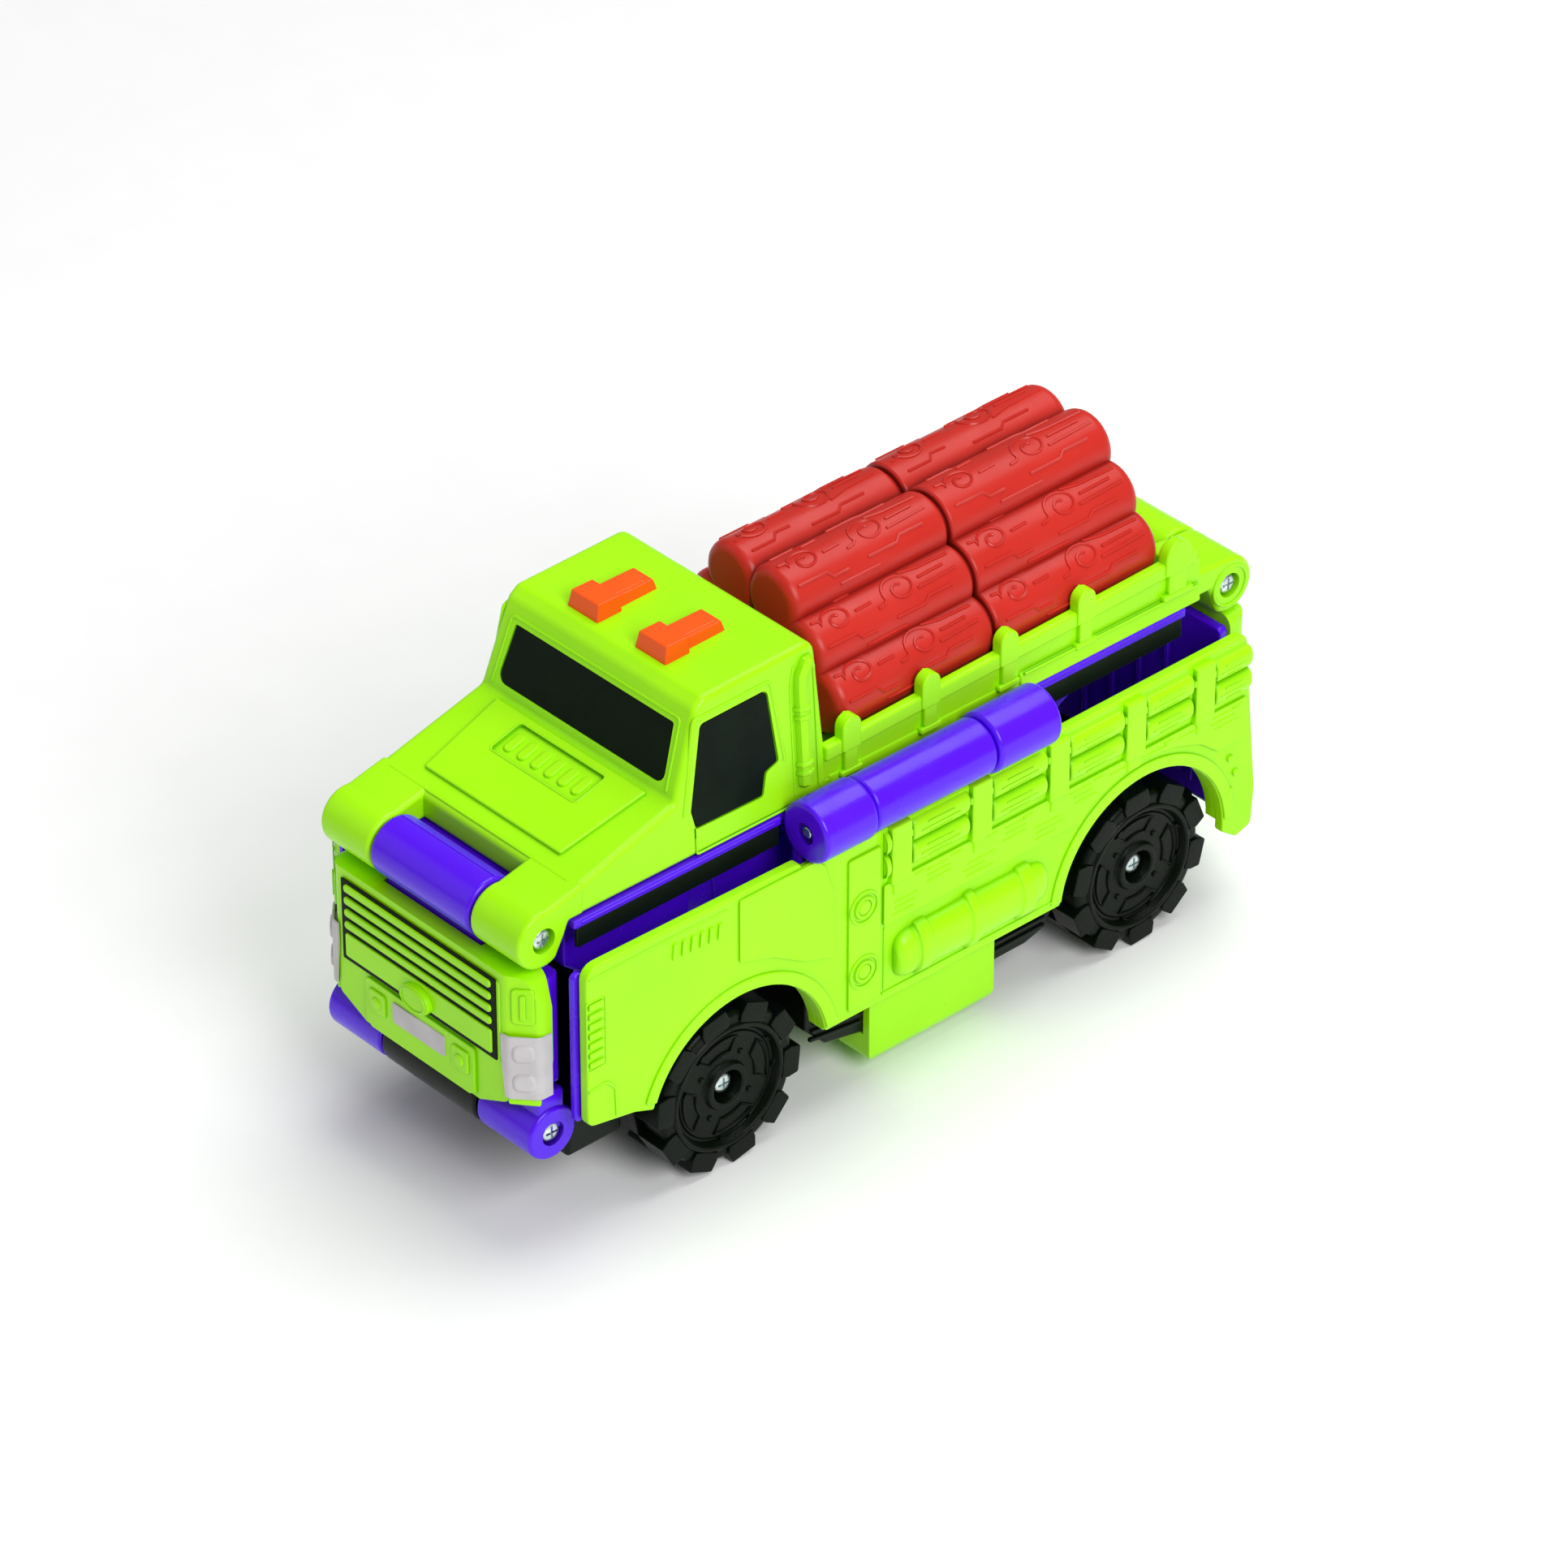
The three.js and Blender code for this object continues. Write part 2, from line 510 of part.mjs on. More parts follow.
// ---- side panels ----
const sideOutline = [[-72, 24.2, 1], [-58, 24.2], [-58, panel.bottom], [72, panel.bottom], [72, 13.6]];
sideOutline.push([75, 14.6, 1.5], [75.6, 22], [72.4, 54, 2], [27.2, 53.6], [26.8, panel.top]);
sideOutline.push([-26.4, panel.top], [-26.8, 54.3, 1], [-72, 54.8, 3]);

function archHole({ y, z, radius }, from, to) {
  return rod("x", y, z, radius, from, to, 40).add(block([from, to], [y - radius, y + radius], [-20, z]));
}

// The flange inside an arch's lip. The front one stops short of its front foot, which swings past the tyre.
function archRim(arch) {
  const { inner, shellInner, outer, bottom } = panel;
  const rim = rod("x", arch.y, arch.z, arch.radius + archLip.shell, inner, outer, 40);
  const footSpace = block([inner - 1, shellInner], [-61, -50], [bottom - 1, 28.5]);
  return cut(rim.intersect(block([inner, outer], [-61, 80], [bottom, 60])), [footSpace]);
}

function sideShell() {
  const { shellInner, outer, inner } = panel;
  const arches = [frontArch, rearArch];
  const plate = polygon("x", sideOutline, shellInner, outer);
  const holes = arches.map((arch) => archHole(arch, inner - 1, outer + 1));
  return cut(join([plate, ...arches.map(archRim)]), holes);
}

function sideLiner() {
  const { inner, linerOuter } = panel;
  const edge = [
    [-73, 24.4], [-58, 24.4], [-58, 19.2], [71, 19.2], [75, 17], [75.2, 22], [72.2, 53], [-73, 53],
  ];
  const wide = (arch) => ({ ...arch, radius: arch.radius + archLip.liner });
  const holes = [frontArch, rearArch].map((arch) => archHole(wide(arch), inner - 2, linerOuter + 4));
  const plate = polygon("x", edge, inner, linerOuter);
  const flange = block([25.7, linerOuter], [-71.5, 71.5], [51.7, 53]);
  const { x, z, endRadius, front, rear } = sideHinge;
  const knuckles = [[front, sideGap.front], [sideGap.rear, rear]].map(([from, to]) => {
    const lowArm = block([inner, linerOuter], [from, to], [50, 55.5]);
    const highArm = block([inner, 31.8], [from, to], [54.5, 56.5]);
    return join([rod("y", x, z, endRadius, from, to), lowArm, highArm]);
  });
  const pinHole = rod("y", x, z, screwSize.holeRadius, front - 1, rear + 1, 12);
  return cut(join([plate, flange, ...knuckles]), [...holes, pinHole]);
}

function sidePin() {
  const { x, z, front, rear } = sideHinge;
  return rod("y", x, z, screwSize.shankRadius, front + 0.2, rear - 0.2, 12);
}

placePair("side_shell", sideShell(), limeGreen);
placePair("side_liner", sideLiner(), purple);
placePair("side_pin", sidePin(), zinc);

export default group;
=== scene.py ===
import math
import random

import bmesh
import bpy
from mathutils import Matrix, Vector


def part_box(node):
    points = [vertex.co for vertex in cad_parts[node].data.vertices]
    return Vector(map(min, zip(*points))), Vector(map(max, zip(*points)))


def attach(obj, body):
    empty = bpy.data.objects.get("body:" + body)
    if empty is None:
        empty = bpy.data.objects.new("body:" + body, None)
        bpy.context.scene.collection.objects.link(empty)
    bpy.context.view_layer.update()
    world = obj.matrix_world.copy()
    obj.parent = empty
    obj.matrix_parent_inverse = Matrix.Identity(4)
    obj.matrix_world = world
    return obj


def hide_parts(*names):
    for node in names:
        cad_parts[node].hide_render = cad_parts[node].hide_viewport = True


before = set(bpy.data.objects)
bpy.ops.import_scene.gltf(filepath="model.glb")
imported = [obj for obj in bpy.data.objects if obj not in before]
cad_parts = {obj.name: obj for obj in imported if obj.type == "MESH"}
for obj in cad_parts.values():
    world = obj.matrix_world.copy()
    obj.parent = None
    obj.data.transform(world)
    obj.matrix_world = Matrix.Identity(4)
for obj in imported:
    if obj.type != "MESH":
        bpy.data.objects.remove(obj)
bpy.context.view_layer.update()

# A toy log truck that turns inside out. Sizes are in millimetres until a piece is finished,
# and y is counted as on the truck's drawing: the frame says how far that sits from its own y.
mm = 0.001
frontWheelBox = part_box("wheel_front_left")
noseShift = (frontWheelBox[0].y + frontWheelBox[1].y) / 2 / mm + 40.5
bpy.context.scene.view_settings.view_transform = "Standard"


# outlines
def arc(a, b, radius, start, end, steps=12):
    turns = [math.radians(start + (end - start) * i / steps) for i in range(steps + 1)]
    return [(a + radius * math.cos(t), b + radius * math.sin(t)) for t in turns]


def rounded(points, steps=4, closed=True):
    # corners given as (a, b, radius) become arcs
    made = []
    count = len(points)
    for i, point in enumerate(points):
        here = Vector(point[:2])
        radius = point[2] if len(point) > 2 else 0
        inside = closed or 0 < i < count - 1
        if not radius or not inside:
            made.append(tuple(here))
            continue
        toBefore = (Vector(points[i - 1][:2]) - here).normalized()
        toAfter = (Vector(points[(i + 1) % count][:2]) - here).normalized()
        half = toBefore.angle(toAfter) / 2
        reach = radius / math.tan(half)
        middle = here + (toBefore + toAfter).normalized() * (radius / math.sin(half))
        first = here + toBefore * reach - middle
        last = here + toAfter * reach - middle
        swing = first.angle_signed(last)
        for k in range(steps + 1):
            made.append(tuple(middle + Matrix.Rotation(-swing * k / steps, 2) @ first))
    return made


def boxOutline(a0, a1, b0, b1, radius=0.0, steps=4):
    return rounded([(a0, b0, radius), (a1, b0, radius), (a1, b1, radius), (a0, b1, radius)], steps)


def oval(a, b, wide, tall, count):
    turns = [2 * math.pi * k / count for k in range(count)]
    return [(a + wide * math.cos(t), b + tall * math.sin(t)) for t in turns]


# planes that an outline is drawn on
alongX = Matrix(((0, 0, 1, 0), (1, 0, 0, 0), (0, 1, 0, 0), (0, 0, 0, 1)))  # drawn in y, z
alongY = Matrix(((1, 0, 0, 0), (0, 0, 1, 0), (0, 1, 0, 0), (0, 0, 0, 1)))  # drawn in x, z
alongZ = Matrix.Identity(4)  # drawn in x, y


def leaning(origin, across, up):
    u, v = Vector(across).normalized(), Vector(up).normalized()
    w = u.cross(v)
    plane = Matrix((u, v, w)).transposed().to_4x4()
    plane.translation = Vector(origin)
    return plane


# solids
def soften(body, width, steps=3, least=30):
    edges = [e for e in body.edges if len(e.link_faces) == 2 and e.calc_face_angle(0) > math.radians(least)]
    bmesh.ops.bevel(body, geom=edges, offset=width, offset_type="OFFSET", segments=steps, profile=0.5,
                    affect="EDGES", clamp_overlap=True)
    return body


def loft(lowOutline, highOutline, low, high, plane=alongX, soft=0.0, steps=3):
    body = bmesh.new()
    near = [body.verts.new(plane @ Vector((a, b, low))) for a, b in lowOutline]
    far = [body.verts.new(plane @ Vector((a, b, high))) for a, b in highOutline]
    body.faces.new(near)
    body.faces.new(far)
    count = len(near)
    for i in range(count):
        j = (i + 1) % count
        body.faces.new((near[i], near[j], far[j], far[i]))
    bmesh.ops.recalc_face_normals(body, faces=body.faces)
    if soft:
        soften(body, soft, steps)
    return body


def slab(outline, low, high, plane=alongX, soft=0.0, steps=3):
    return loft(outline, outline, low, high, plane, soft, steps)


def brick(x, y, z, soft=0.0, steps=3):
    return slab(boxOutline(x[0], x[1], y[0], y[1]), z[0], z[1], alongZ, soft, steps)


def turned(profile, a, b, axis="x", sides=40):
    # a profile of (place along the axis, radius), with its ends on the axis
    body = bmesh.new()
    rings = []
    for place, radius in profile:
        ring = []
        for k in range(sides if radius > 1e-6 else 1):
            turn = 2 * math.pi * k / sides
            p, q = a + radius * math.cos(turn), b + radius * math.sin(turn)
            spot = {"x": (place, p, q), "y": (p, place, q), "z": (p, q, place)}[axis]
            ring.append(body.verts.new(spot))
        rings.append(ring)
    for one, two in zip(rings, rings[1:]):
        for k in range(sides):
            j = (k + 1) % sides
            corners = [one[k % len(one)], one[j % len(one)], two[j % len(two)], two[k % len(two)]]
            face = list(dict.fromkeys(corners))
            if len(face) > 2:
                body.faces.new(face)
    bmesh.ops.recalc_face_normals(body, faces=body.faces)
    return body


def barrel(start, end, radius, a, b, axis="x", soft=0.8, sides=48):
    profile = rounded([(start, 0), (start, radius, soft), (end, radius, soft), (end, 0)], 5, closed=False)
    return turned(profile, a, b, axis, sides)


def rod(start, end, radius, a, b, sides=28, axis="x"):
    # a plain cylinder with sharp ends, mostly to cut with
    return turned([(start, 0), (start, radius), (end, radius), (end, 0)], a, b, axis, sides)


def bead(path, radius, loop=False, sides=8):
    # a round bead along points in space, with domed ends, or closed on itself
    points = [Vector(p) for p in path]
    count = len(points)
    body = bmesh.new()
    rings = []
    normal = None
    for i, point in enumerate(points):
        before = points[i - 1] if (i or loop) else point
        after = points[(i + 1) % count] if (i < count - 1 or loop) else point
        heading = (after - before).normalized()
        if normal is None:
            normal = heading.orthogonal().normalized()
        normal = (normal - heading * normal.dot(heading)).normalized()
        other = heading.cross(normal)
        ringSpots = oval(0, 0, radius, radius, sides)
        rings.append([body.verts.new(point + normal * a + other * b) for a, b in ringSpots])
    following = rings[1:] + rings[:1] if loop else rings[1:]
    for one, two in zip(rings, following):
        shift = 0
        if loop and two is rings[0]:
            shift = min(range(sides), key=lambda s: (one[0].co - two[s].co).length)
        for k in range(sides):
            j = (k + 1) % sides
            body.faces.new((one[k], one[j], two[(j + shift) % sides], two[(k + shift) % sides]))
    if not loop:
        for ring, inner in ((rings[0], points[1]), (rings[-1], points[-2])):
            end = points[0] if ring is rings[0] else points[-1]
            tip = body.verts.new(end + (end - inner).normalized() * radius * 0.8)
            for k in range(sides):
                body.faces.new((ring[k], ring[(k + 1) % sides], tip))
    bmesh.ops.recalc_face_normals(body, faces=body.faces)
    return body


def drawn(points, height, plane):
    return [plane @ Vector((a, b, height)) for a, b in points]


def line(points, radius, plane, height=0.0, loop=False, corner=0.0):
    # a bead drawn on a plane, half sunk in it
    path = rounded([(*p, corner) for p in points], 3, closed=loop) if corner else points
    return bead(drawn(path, height, plane), radius, loop)


def join(*bodies):
    whole = bmesh.new()
    for body in bodies:
        mesh = bpy.data.meshes.new("part")
        body.to_mesh(mesh)
        whole.from_mesh(mesh)
        bpy.data.meshes.remove(mesh)
    return whole


def flipped(body):
    other = body.copy()
    bmesh.ops.scale(other, vec=(-1, 1, 1), verts=other.verts)
    bmesh.ops.reverse_faces(other, faces=other.faces)
    return other


def both(body):
    return join(body, flipped(body))


def moved(body, x, y, z):
    bmesh.ops.translate(body, vec=(x, y, z), verts=body.verts)
    return body


def spun(body, degrees, axis="X", about=(0, 0, 0)):
    turn = Matrix.Rotation(math.radians(degrees), 3, axis)
    bmesh.ops.rotate(body, cent=about, matrix=turn, verts=body.verts)
    return body


def holder(body, name="part"):
    mesh = bpy.data.meshes.new(name)
    body.to_mesh(mesh)
    thing = bpy.data.objects.new(name, mesh)
    bpy.context.scene.collection.objects.link(thing)
    return thing


def settled(thing):
    # the object's evaluated mesh, as a body; the object goes
    graph = bpy.context.evaluated_depsgraph_get()
    mesh = bpy.data.meshes.new_from_object(thing.evaluated_get(graph))
    body = bmesh.new()
    body.from_mesh(mesh)
    bpy.data.meshes.remove(mesh)
    old = thing.data
    bpy.data.objects.remove(thing)
    if isinstance(old, bpy.types.Mesh):
        bpy.data.meshes.remove(old)
    return body


def combine(body, tools, operation="DIFFERENCE"):
    host = holder(body)
    guests = [holder(tool) for tool in tools]
    for guest in guests:
        step = host.modifiers.new("step", "BOOLEAN")
        step.object = guest
        step.operation = operation
        step.solver = "EXACT"
    made = settled(host)
    for guest in guests:
        bpy.data.objects.remove(guest)
    bmesh.ops.dissolve_limit(made, angle_limit=math.radians(0.5), verts=made.verts, edges=made.edges)
    return made


def crossed(first, second, soft, steps, least):
    # what two slabs share, with its edges rounded off where they turn by more than least degrees
    return soften(combine(first, [second], "INTERSECT"), soft, steps, least)


# a Geometry Nodes row: one shape, repeated along a step and turned each time
def rowTree():
    tree = bpy.data.node_groups.new("rowOfShapes", "GeometryNodeTree")
    sockets = (("Shape", "NodeSocketGeometry"), ("Count", "NodeSocketInt"), ("Step", "NodeSocketVector"),
               ("Turn", "NodeSocketVector"), ("Place", "NodeSocketVector"), ("Material", "NodeSocketMaterial"))
    for label, kind in sockets:
        tree.interface.new_socket(name=label, in_out="INPUT", socket_type=kind)
    tree.interface.new_socket(name="Geometry", in_out="OUTPUT", socket_type="NodeSocketGeometry")
    nodes, links = tree.nodes, tree.links
    given = nodes.new("NodeGroupInput")
    out = nodes.new("NodeGroupOutput")
    spots = nodes.new("GeometryNodeMeshLine")
    spots.mode = "OFFSET"
    index = nodes.new("GeometryNodeInputIndex")
    turn = nodes.new("ShaderNodeVectorMath")
    turn.operation = "SCALE"
    copies = nodes.new("GeometryNodeInstanceOnPoints")
    move = nodes.new("GeometryNodeTransform")
    real = nodes.new("GeometryNodeRealizeInstances")
    paint = nodes.new("GeometryNodeSetMaterial")
    links.new(given.outputs["Count"], spots.inputs["Count"])
    links.new(given.outputs["Step"], spots.inputs["Offset"])
    links.new(given.outputs["Turn"], turn.inputs[0])
    links.new(index.outputs[0], turn.inputs["Scale"])
    links.new(spots.outputs[0], copies.inputs["Points"])
    links.new(given.outputs["Shape"], copies.inputs["Instance"])
    links.new(turn.outputs[0], copies.inputs["Rotation"])
    links.new(copies.outputs[0], move.inputs["Geometry"])
    links.new(given.outputs["Place"], move.inputs["Translation"])
    links.new(move.outputs[0], real.inputs[0])
    links.new(real.outputs[0], paint.inputs["Geometry"])
    links.new(given.outputs["Material"], paint.inputs["Material"])
    links.new(paint.outputs[0], out.inputs[0])
    return tree


rowOfShapes = rowTree()


def row(body, count, step, material, turn=(0, 0, 0), place=(0, 0, 0)):
    thing = holder(body)
    made = thing.modifiers.new("row", "NODES")
    made.node_group = rowOfShapes
    wanted = {"Count": count, "Step": step, "Turn": turn, "Place": place, "Material": material}
    for item in rowOfShapes.interface.items_tree:
        if item.in_out == "INPUT" and item.name in wanted:
            made[item.identifier] = wanted[item.name]
    return settled(thing)


# a finished piece: its bodies joined, in metres, shaded and handed to the frame
sharpAngle = math.radians(38)


def makePiece(name, bodies, material, rides, replaced=()):
    body = join(*bodies)
    for vert in body.verts:
        vert.co.y += noseShift
        vert.co *= mm
    for face in body.faces:
        face.material_index = 0
    mesh = bpy.data.meshes.new(name)
    body.to_mesh(mesh)
    mesh.shade_smooth()
    mesh.set_sharp_from_angle(angle=sharpAngle)
    piece = bpy.data.objects.new(name, mesh)
    bpy.context.scene.collection.objects.link(piece)
    normals = piece.modifiers.new("normals", "WEIGHTED_NORMAL")
    normals.keep_sharp = True
    graph = bpy.context.evaluated_depsgraph_get()
    piece.data = bpy.data.meshes.new_from_object(piece.evaluated_get(graph))
    piece.data.name = name
    piece.modifiers.clear()
    piece.data.materials.clear()
    piece.data.materials.append(material)
    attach(piece, rides)
    if replaced:
        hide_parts(*replaced)


def makePair(name, body, material, rides, replaced=None):
    # a left piece and its mirrored twin; {} stands for the side in the other names
    for side, shape in (("left", body), ("right", flipped(body))):
        nodes = [replaced.format(side)] if replaced else ()
        makePiece(f"{name}_{side}", [shape], material, rides.format(side), nodes)


# finishes
def colourOf(r, g, b):
    # a screen colour, 0 to 255, as the linear colour that the shader takes
    parts = [c / 255 for c in (r, g, b)]
    return (*[c / 12.92 if c <= 0.04045 else ((c + 0.055) / 1.055) ** 2.4 for c in parts], 1)


# face is each plastic's own colour; deep is mostly painted shade, the darker colour that creases and hollows are turned
# to, and a little of the random tone
finishes = {
    "limePlastic": {"face": (166, 243, 6), "deep": (52, 160, 0), "rough": (0.26, 0.36), "grain": 0.05, "shine": 0.26},
    "purplePlastic": {"face": (86, 12, 240), "deep": (14, 1, 52), "rough": (0.2, 0.3), "grain": 0.04, "shine": 0.34},
    "blackPlastic": {"face": (14, 22, 14), "deep": (4, 8, 5), "rough": (0.3, 0.42), "grain": 0.12, "shine": 0.16},
    "tyrePlastic": {"face": (7, 14, 7), "deep": (2, 4, 2), "rough": (0.26, 0.38), "grain": 0.22, "shine": 0.11},
    "orangePlastic": {"face": (250, 92, 16), "deep": (196, 44, 4), "rough": (0.26, 0.38), "grain": 0.05, "shine": 0.25},
    "logPlastic": {"face": (196, 42, 32), "deep": (74, 6, 4), "rough": (0.28, 0.4), "grain": 0.08, "shine": 0.28},
}


# cloud and cloudScale set the random tone; hollow and the reach beside it set the painted shade that ambient occlusion
# puts into hollows
plasticLook = {"cloudScale": 38, "cloud": 0.14, "paintedShadeReach": 0.003, "hollow": 0.62, "sheenScale": 160,
               "grainScale": 2600, "grainDepth": 0.0002, "sinkScale": 90, "sink": 0.12, "sinkDepth": 0.0009}
foilLook = {"inkScale": 220, "inkStops": (0.35, 0.62), "glossSpread": (-0.07, 0.1), "peelScale": 900, "peel": 0.06,
            "peelDepth": 0.0002}
zincLook = {"spangleScale": 1400, "wearScale": 1800, "rough": (0.18, 0.45), "wear": 0.25, "wearDepth": 0.0001}
noiseMiddle = (0.3, 0.7)  # most of a noise's values lie between these


def blankMaterial(name):
    material = bpy.data.materials.new(name)
    material.use_nodes = True
    return material, material.node_tree, material.node_tree.nodes["Principled BSDF"]


def texture(tree, scale, detail=2, kind="ShaderNodeTexNoise"):
    where = tree.nodes.new("ShaderNodeTexCoord")
    node = tree.nodes.new(kind)
    node.inputs["Scale"].default_value = scale
    node.inputs["Detail"].default_value = detail
    tree.links.new(where.outputs["Object"], node.inputs["Vector"])
    return node.outputs[0]


def spread(tree, value, before, after):
    # takes the values between the two numbers of before to those of after
    node = tree.nodes.new("ShaderNodeMapRange")
    tree.links.new(value, node.inputs["Value"])
    for label, number in zip(("From Min", "From Max", "To Min", "To Max"), (*before, *after)):
        node.inputs[label].default_value = number
    return node.outputs["Result"]


def ramp(tree, value, low, high, stops=(0, 1)):
    node = tree.nodes.new("ShaderNodeValToRGB")
    for element, stop, colour in zip(node.color_ramp.elements, stops, (low, high)):
        element.position = stop
        element.color = colour
    tree.links.new(value, node.inputs["Fac"])
    return node.outputs["Color"]


def bumped(tree, height, strength, depth, under=None):
    node = tree.nodes.new("ShaderNodeBump")
    node.inputs["Strength"].default_value = strength
    node.inputs["Distance"].default_value = depth
    tree.links.new(height, node.inputs["Height"])
    if under:
        tree.links.new(under, node.inputs["Normal"])
    return node.outputs["Normal"]


def mouldedPlastic(name):
    made, look = finishes[name], plasticLook
    material, tree, shader = blankMaterial(name)
    shader.inputs["Specular IOR Level"].default_value = made["shine"]
    # the pigment is a little uneven, and painted shade darkens it towards the deep colour where ambient occlusion finds
    # the wall hollowed by its own relief
    cloud = spread(tree, texture(tree, look["cloudScale"], 3), noiseMiddle, (0, look["cloud"]))
    shade = tree.nodes.new("ShaderNodeAmbientOcclusion")
    shade.samples = 6
    shade.only_local = True
    shade.inputs["Distance"].default_value = look["paintedShadeReach"]
    hollow = spread(tree, shade.outputs["AO"], (0.35, 0.95), (look["hollow"], 0))
    depth = tree.nodes.new("ShaderNodeMath")
    depth.operation = "ADD"
    depth.use_clamp = True
    tree.links.new(cloud, depth.inputs[0])
    tree.links.new(hollow, depth.inputs[1])
    # this mix paints shade into the base colour: the face colour turns to the deep colour by the random tone plus the
    # painted shade
    toneAndPaintedShade = tree.nodes.new("ShaderNodeMix")
    toneAndPaintedShade.data_type = "RGBA"
    toneAndPaintedShade.inputs[6].default_value = colourOf(*made["face"])
    toneAndPaintedShade.inputs[7].default_value = colourOf(*made["deep"])
    tree.links.new(depth.outputs[0], toneAndPaintedShade.inputs[0])
    tree.links.new(toneAndPaintedShade.outputs[2], shader.inputs["Base Color"])

    sheen = spread(tree, texture(tree, look["sheenScale"], 4), noiseMiddle, made["rough"])
    tree.links.new(sheen, shader.inputs["Roughness"])
    grain = bumped(tree, texture(tree, look["grainScale"]), made["grain"], look["grainDepth"])
    sink = bumped(tree, texture(tree, look["sinkScale"], 1), look["sink"], look["sinkDepth"], grain)
    tree.links.new(sink, shader.inputs["Normal"])
    return material


def foilSticker(name, face, edge, rough, shine):
    # a printed foil: even ink, a trace of orange peel, small scuffs in the gloss
    look = foilLook
    material, tree, shader = blankMaterial(name)
    shader.inputs["Specular IOR Level"].default_value = shine
    ink = texture(tree, look["inkScale"], 5)
    colour = ramp(tree, ink, colourOf(*edge), colourOf(*face), look["inkStops"])
    gloss = spread(tree, ink, (0, 1), [rough + by for by in look["glossSpread"]])
    peel = bumped(tree, texture(tree, look["peelScale"]), look["peel"], look["peelDepth"])
    tree.links.new(colour, shader.inputs["Base Color"])
    tree.links.new(gloss, shader.inputs["Roughness"])
    tree.links.new(peel, shader.inputs["Normal"])
    return material


def zincPlate():
    look = zincLook
    material, tree, shader = blankMaterial("zincPlate")
    shader.inputs["Metallic"].default_value = 1.0
    spangle = texture(tree, look["spangleScale"], 0, "ShaderNodeTexVoronoi")
    colour = ramp(tree, spangle, colourOf(176, 196, 202), colourOf(238, 242, 240))
    wear = texture(tree, look["wearScale"])
    tree.links.new(colour, shader.inputs["Base Color"])
    tree.links.new(spread(tree, wear, (0, 1), look["rough"]), shader.inputs["Roughness"])
    tree.links.new(bumped(tree, wear, look["wear"], look["wearDepth"]), shader.inputs["Normal"])
    return material


lime, purple, black, tyre, orange, logRed = [mouldedPlastic(name) for name in finishes]
darkFoil = foilSticker("darkFoil", (13, 25, 15), (10, 20, 12), 0.4, 0.06)
paleFoil = foilSticker("paleFoil", (198, 194, 196), (188, 184, 186), 0.35, 0.3)
zinc = zincPlate()
print("finishes made")


# floor, light and camera
stageSizes = {"floor": 6.0, "paper": (0.93, 0.97), "fibre": 90, "sky": 0.24, "key": 12.6, "top": 9.6, "fill": 1.3}


def makeStage():
    sizes = stageSizes
    reach = sizes["floor"]
    ground = holder(slab(boxOutline(-reach, reach, -reach, reach), -0.02, 0.0, alongZ), "floor")
    paper, tree, shader = blankMaterial("floorPaper")
    shader.inputs["Roughness"].default_value = 0.9
    greys = [(level, level, level, 1) for level in sizes["paper"]]
    tree.links.new(ramp(tree, texture(tree, sizes["fibre"]), *greys), shader.inputs["Base Color"])
    ground.data.materials.append(paper)

    world = bpy.data.worlds.new("studio")
    world.use_nodes = True
    world.node_tree.nodes["Background"].inputs["Color"].default_value = (1, 1, 1, 1)
    world.node_tree.nodes["Background"].inputs["Strength"].default_value = sizes["sky"]
    bpy.context.scene.world = world

    def softBox(name, power, size, place, target=(0, 0, 0.04)):
        lamp = bpy.data.lights.new(name, "AREA")
        lamp.shape = "SQUARE"
        lamp.size = size
        lamp.energy = power
        thing = bpy.data.objects.new(name, lamp)
        thing.location = place
        thing.rotation_euler = (Vector(target) - Vector(place)).to_track_quat("-Z", "Y").to_euler()
        bpy.context.scene.collection.objects.link(thing)

    softBox("keyBox", sizes["key"], 0.7, (1.05, -0.22, 0.85))
    softBox("topBox", sizes["top"], 0.9, (0.0, 0.35, 1.15))
    softBox("fillBox", sizes["fill"], 0.9, (-0.8, -0.8, 0.6))


# the camera looks at target from turn and rise in degrees, moved over by right and up
view = {"turn": 47.875, "rise": 34.374, "distance": 1.2923, "lens": 180.9, "target": (0, 0.78, 34),
        "right": -2.1, "up": 6.06}


def makeCamera():
    turn, rise = math.radians(view["turn"]), math.radians(view["rise"])
    right = Vector((math.cos(turn), math.sin(turn), 0))
    back = Vector((math.sin(turn) * math.cos(rise), -math.cos(turn) * math.cos(rise), math.sin(rise)))
    up = back.cross(right)
    eye = Vector(view["target"]) * mm + (right * view["right"] + up * view["up"]) * mm + back * view["distance"]
    lens = bpy.data.cameras.new("camera")
    lens.lens = view["lens"]
    lens.sensor_width = 36
    lens.clip_start = 0.05
    lens.clip_end = 50
    thing = bpy.data.objects.new("camera", lens)
    place = Matrix((right, up, back)).transposed().to_4x4()
    place.translation = eye
    thing.matrix_world = place
    bpy.context.scene.collection.objects.link(thing)
    bpy.context.scene.camera = thing


makeStage()
makeCamera()
print("stage made")


# screws: a domed head with a cross recess, and a shank
screwSizes = {"head": 1.85, "tall": 1.2, "shank": 1.0, "cross": 0.42, "reach": 1.15, "deep": 0.7}


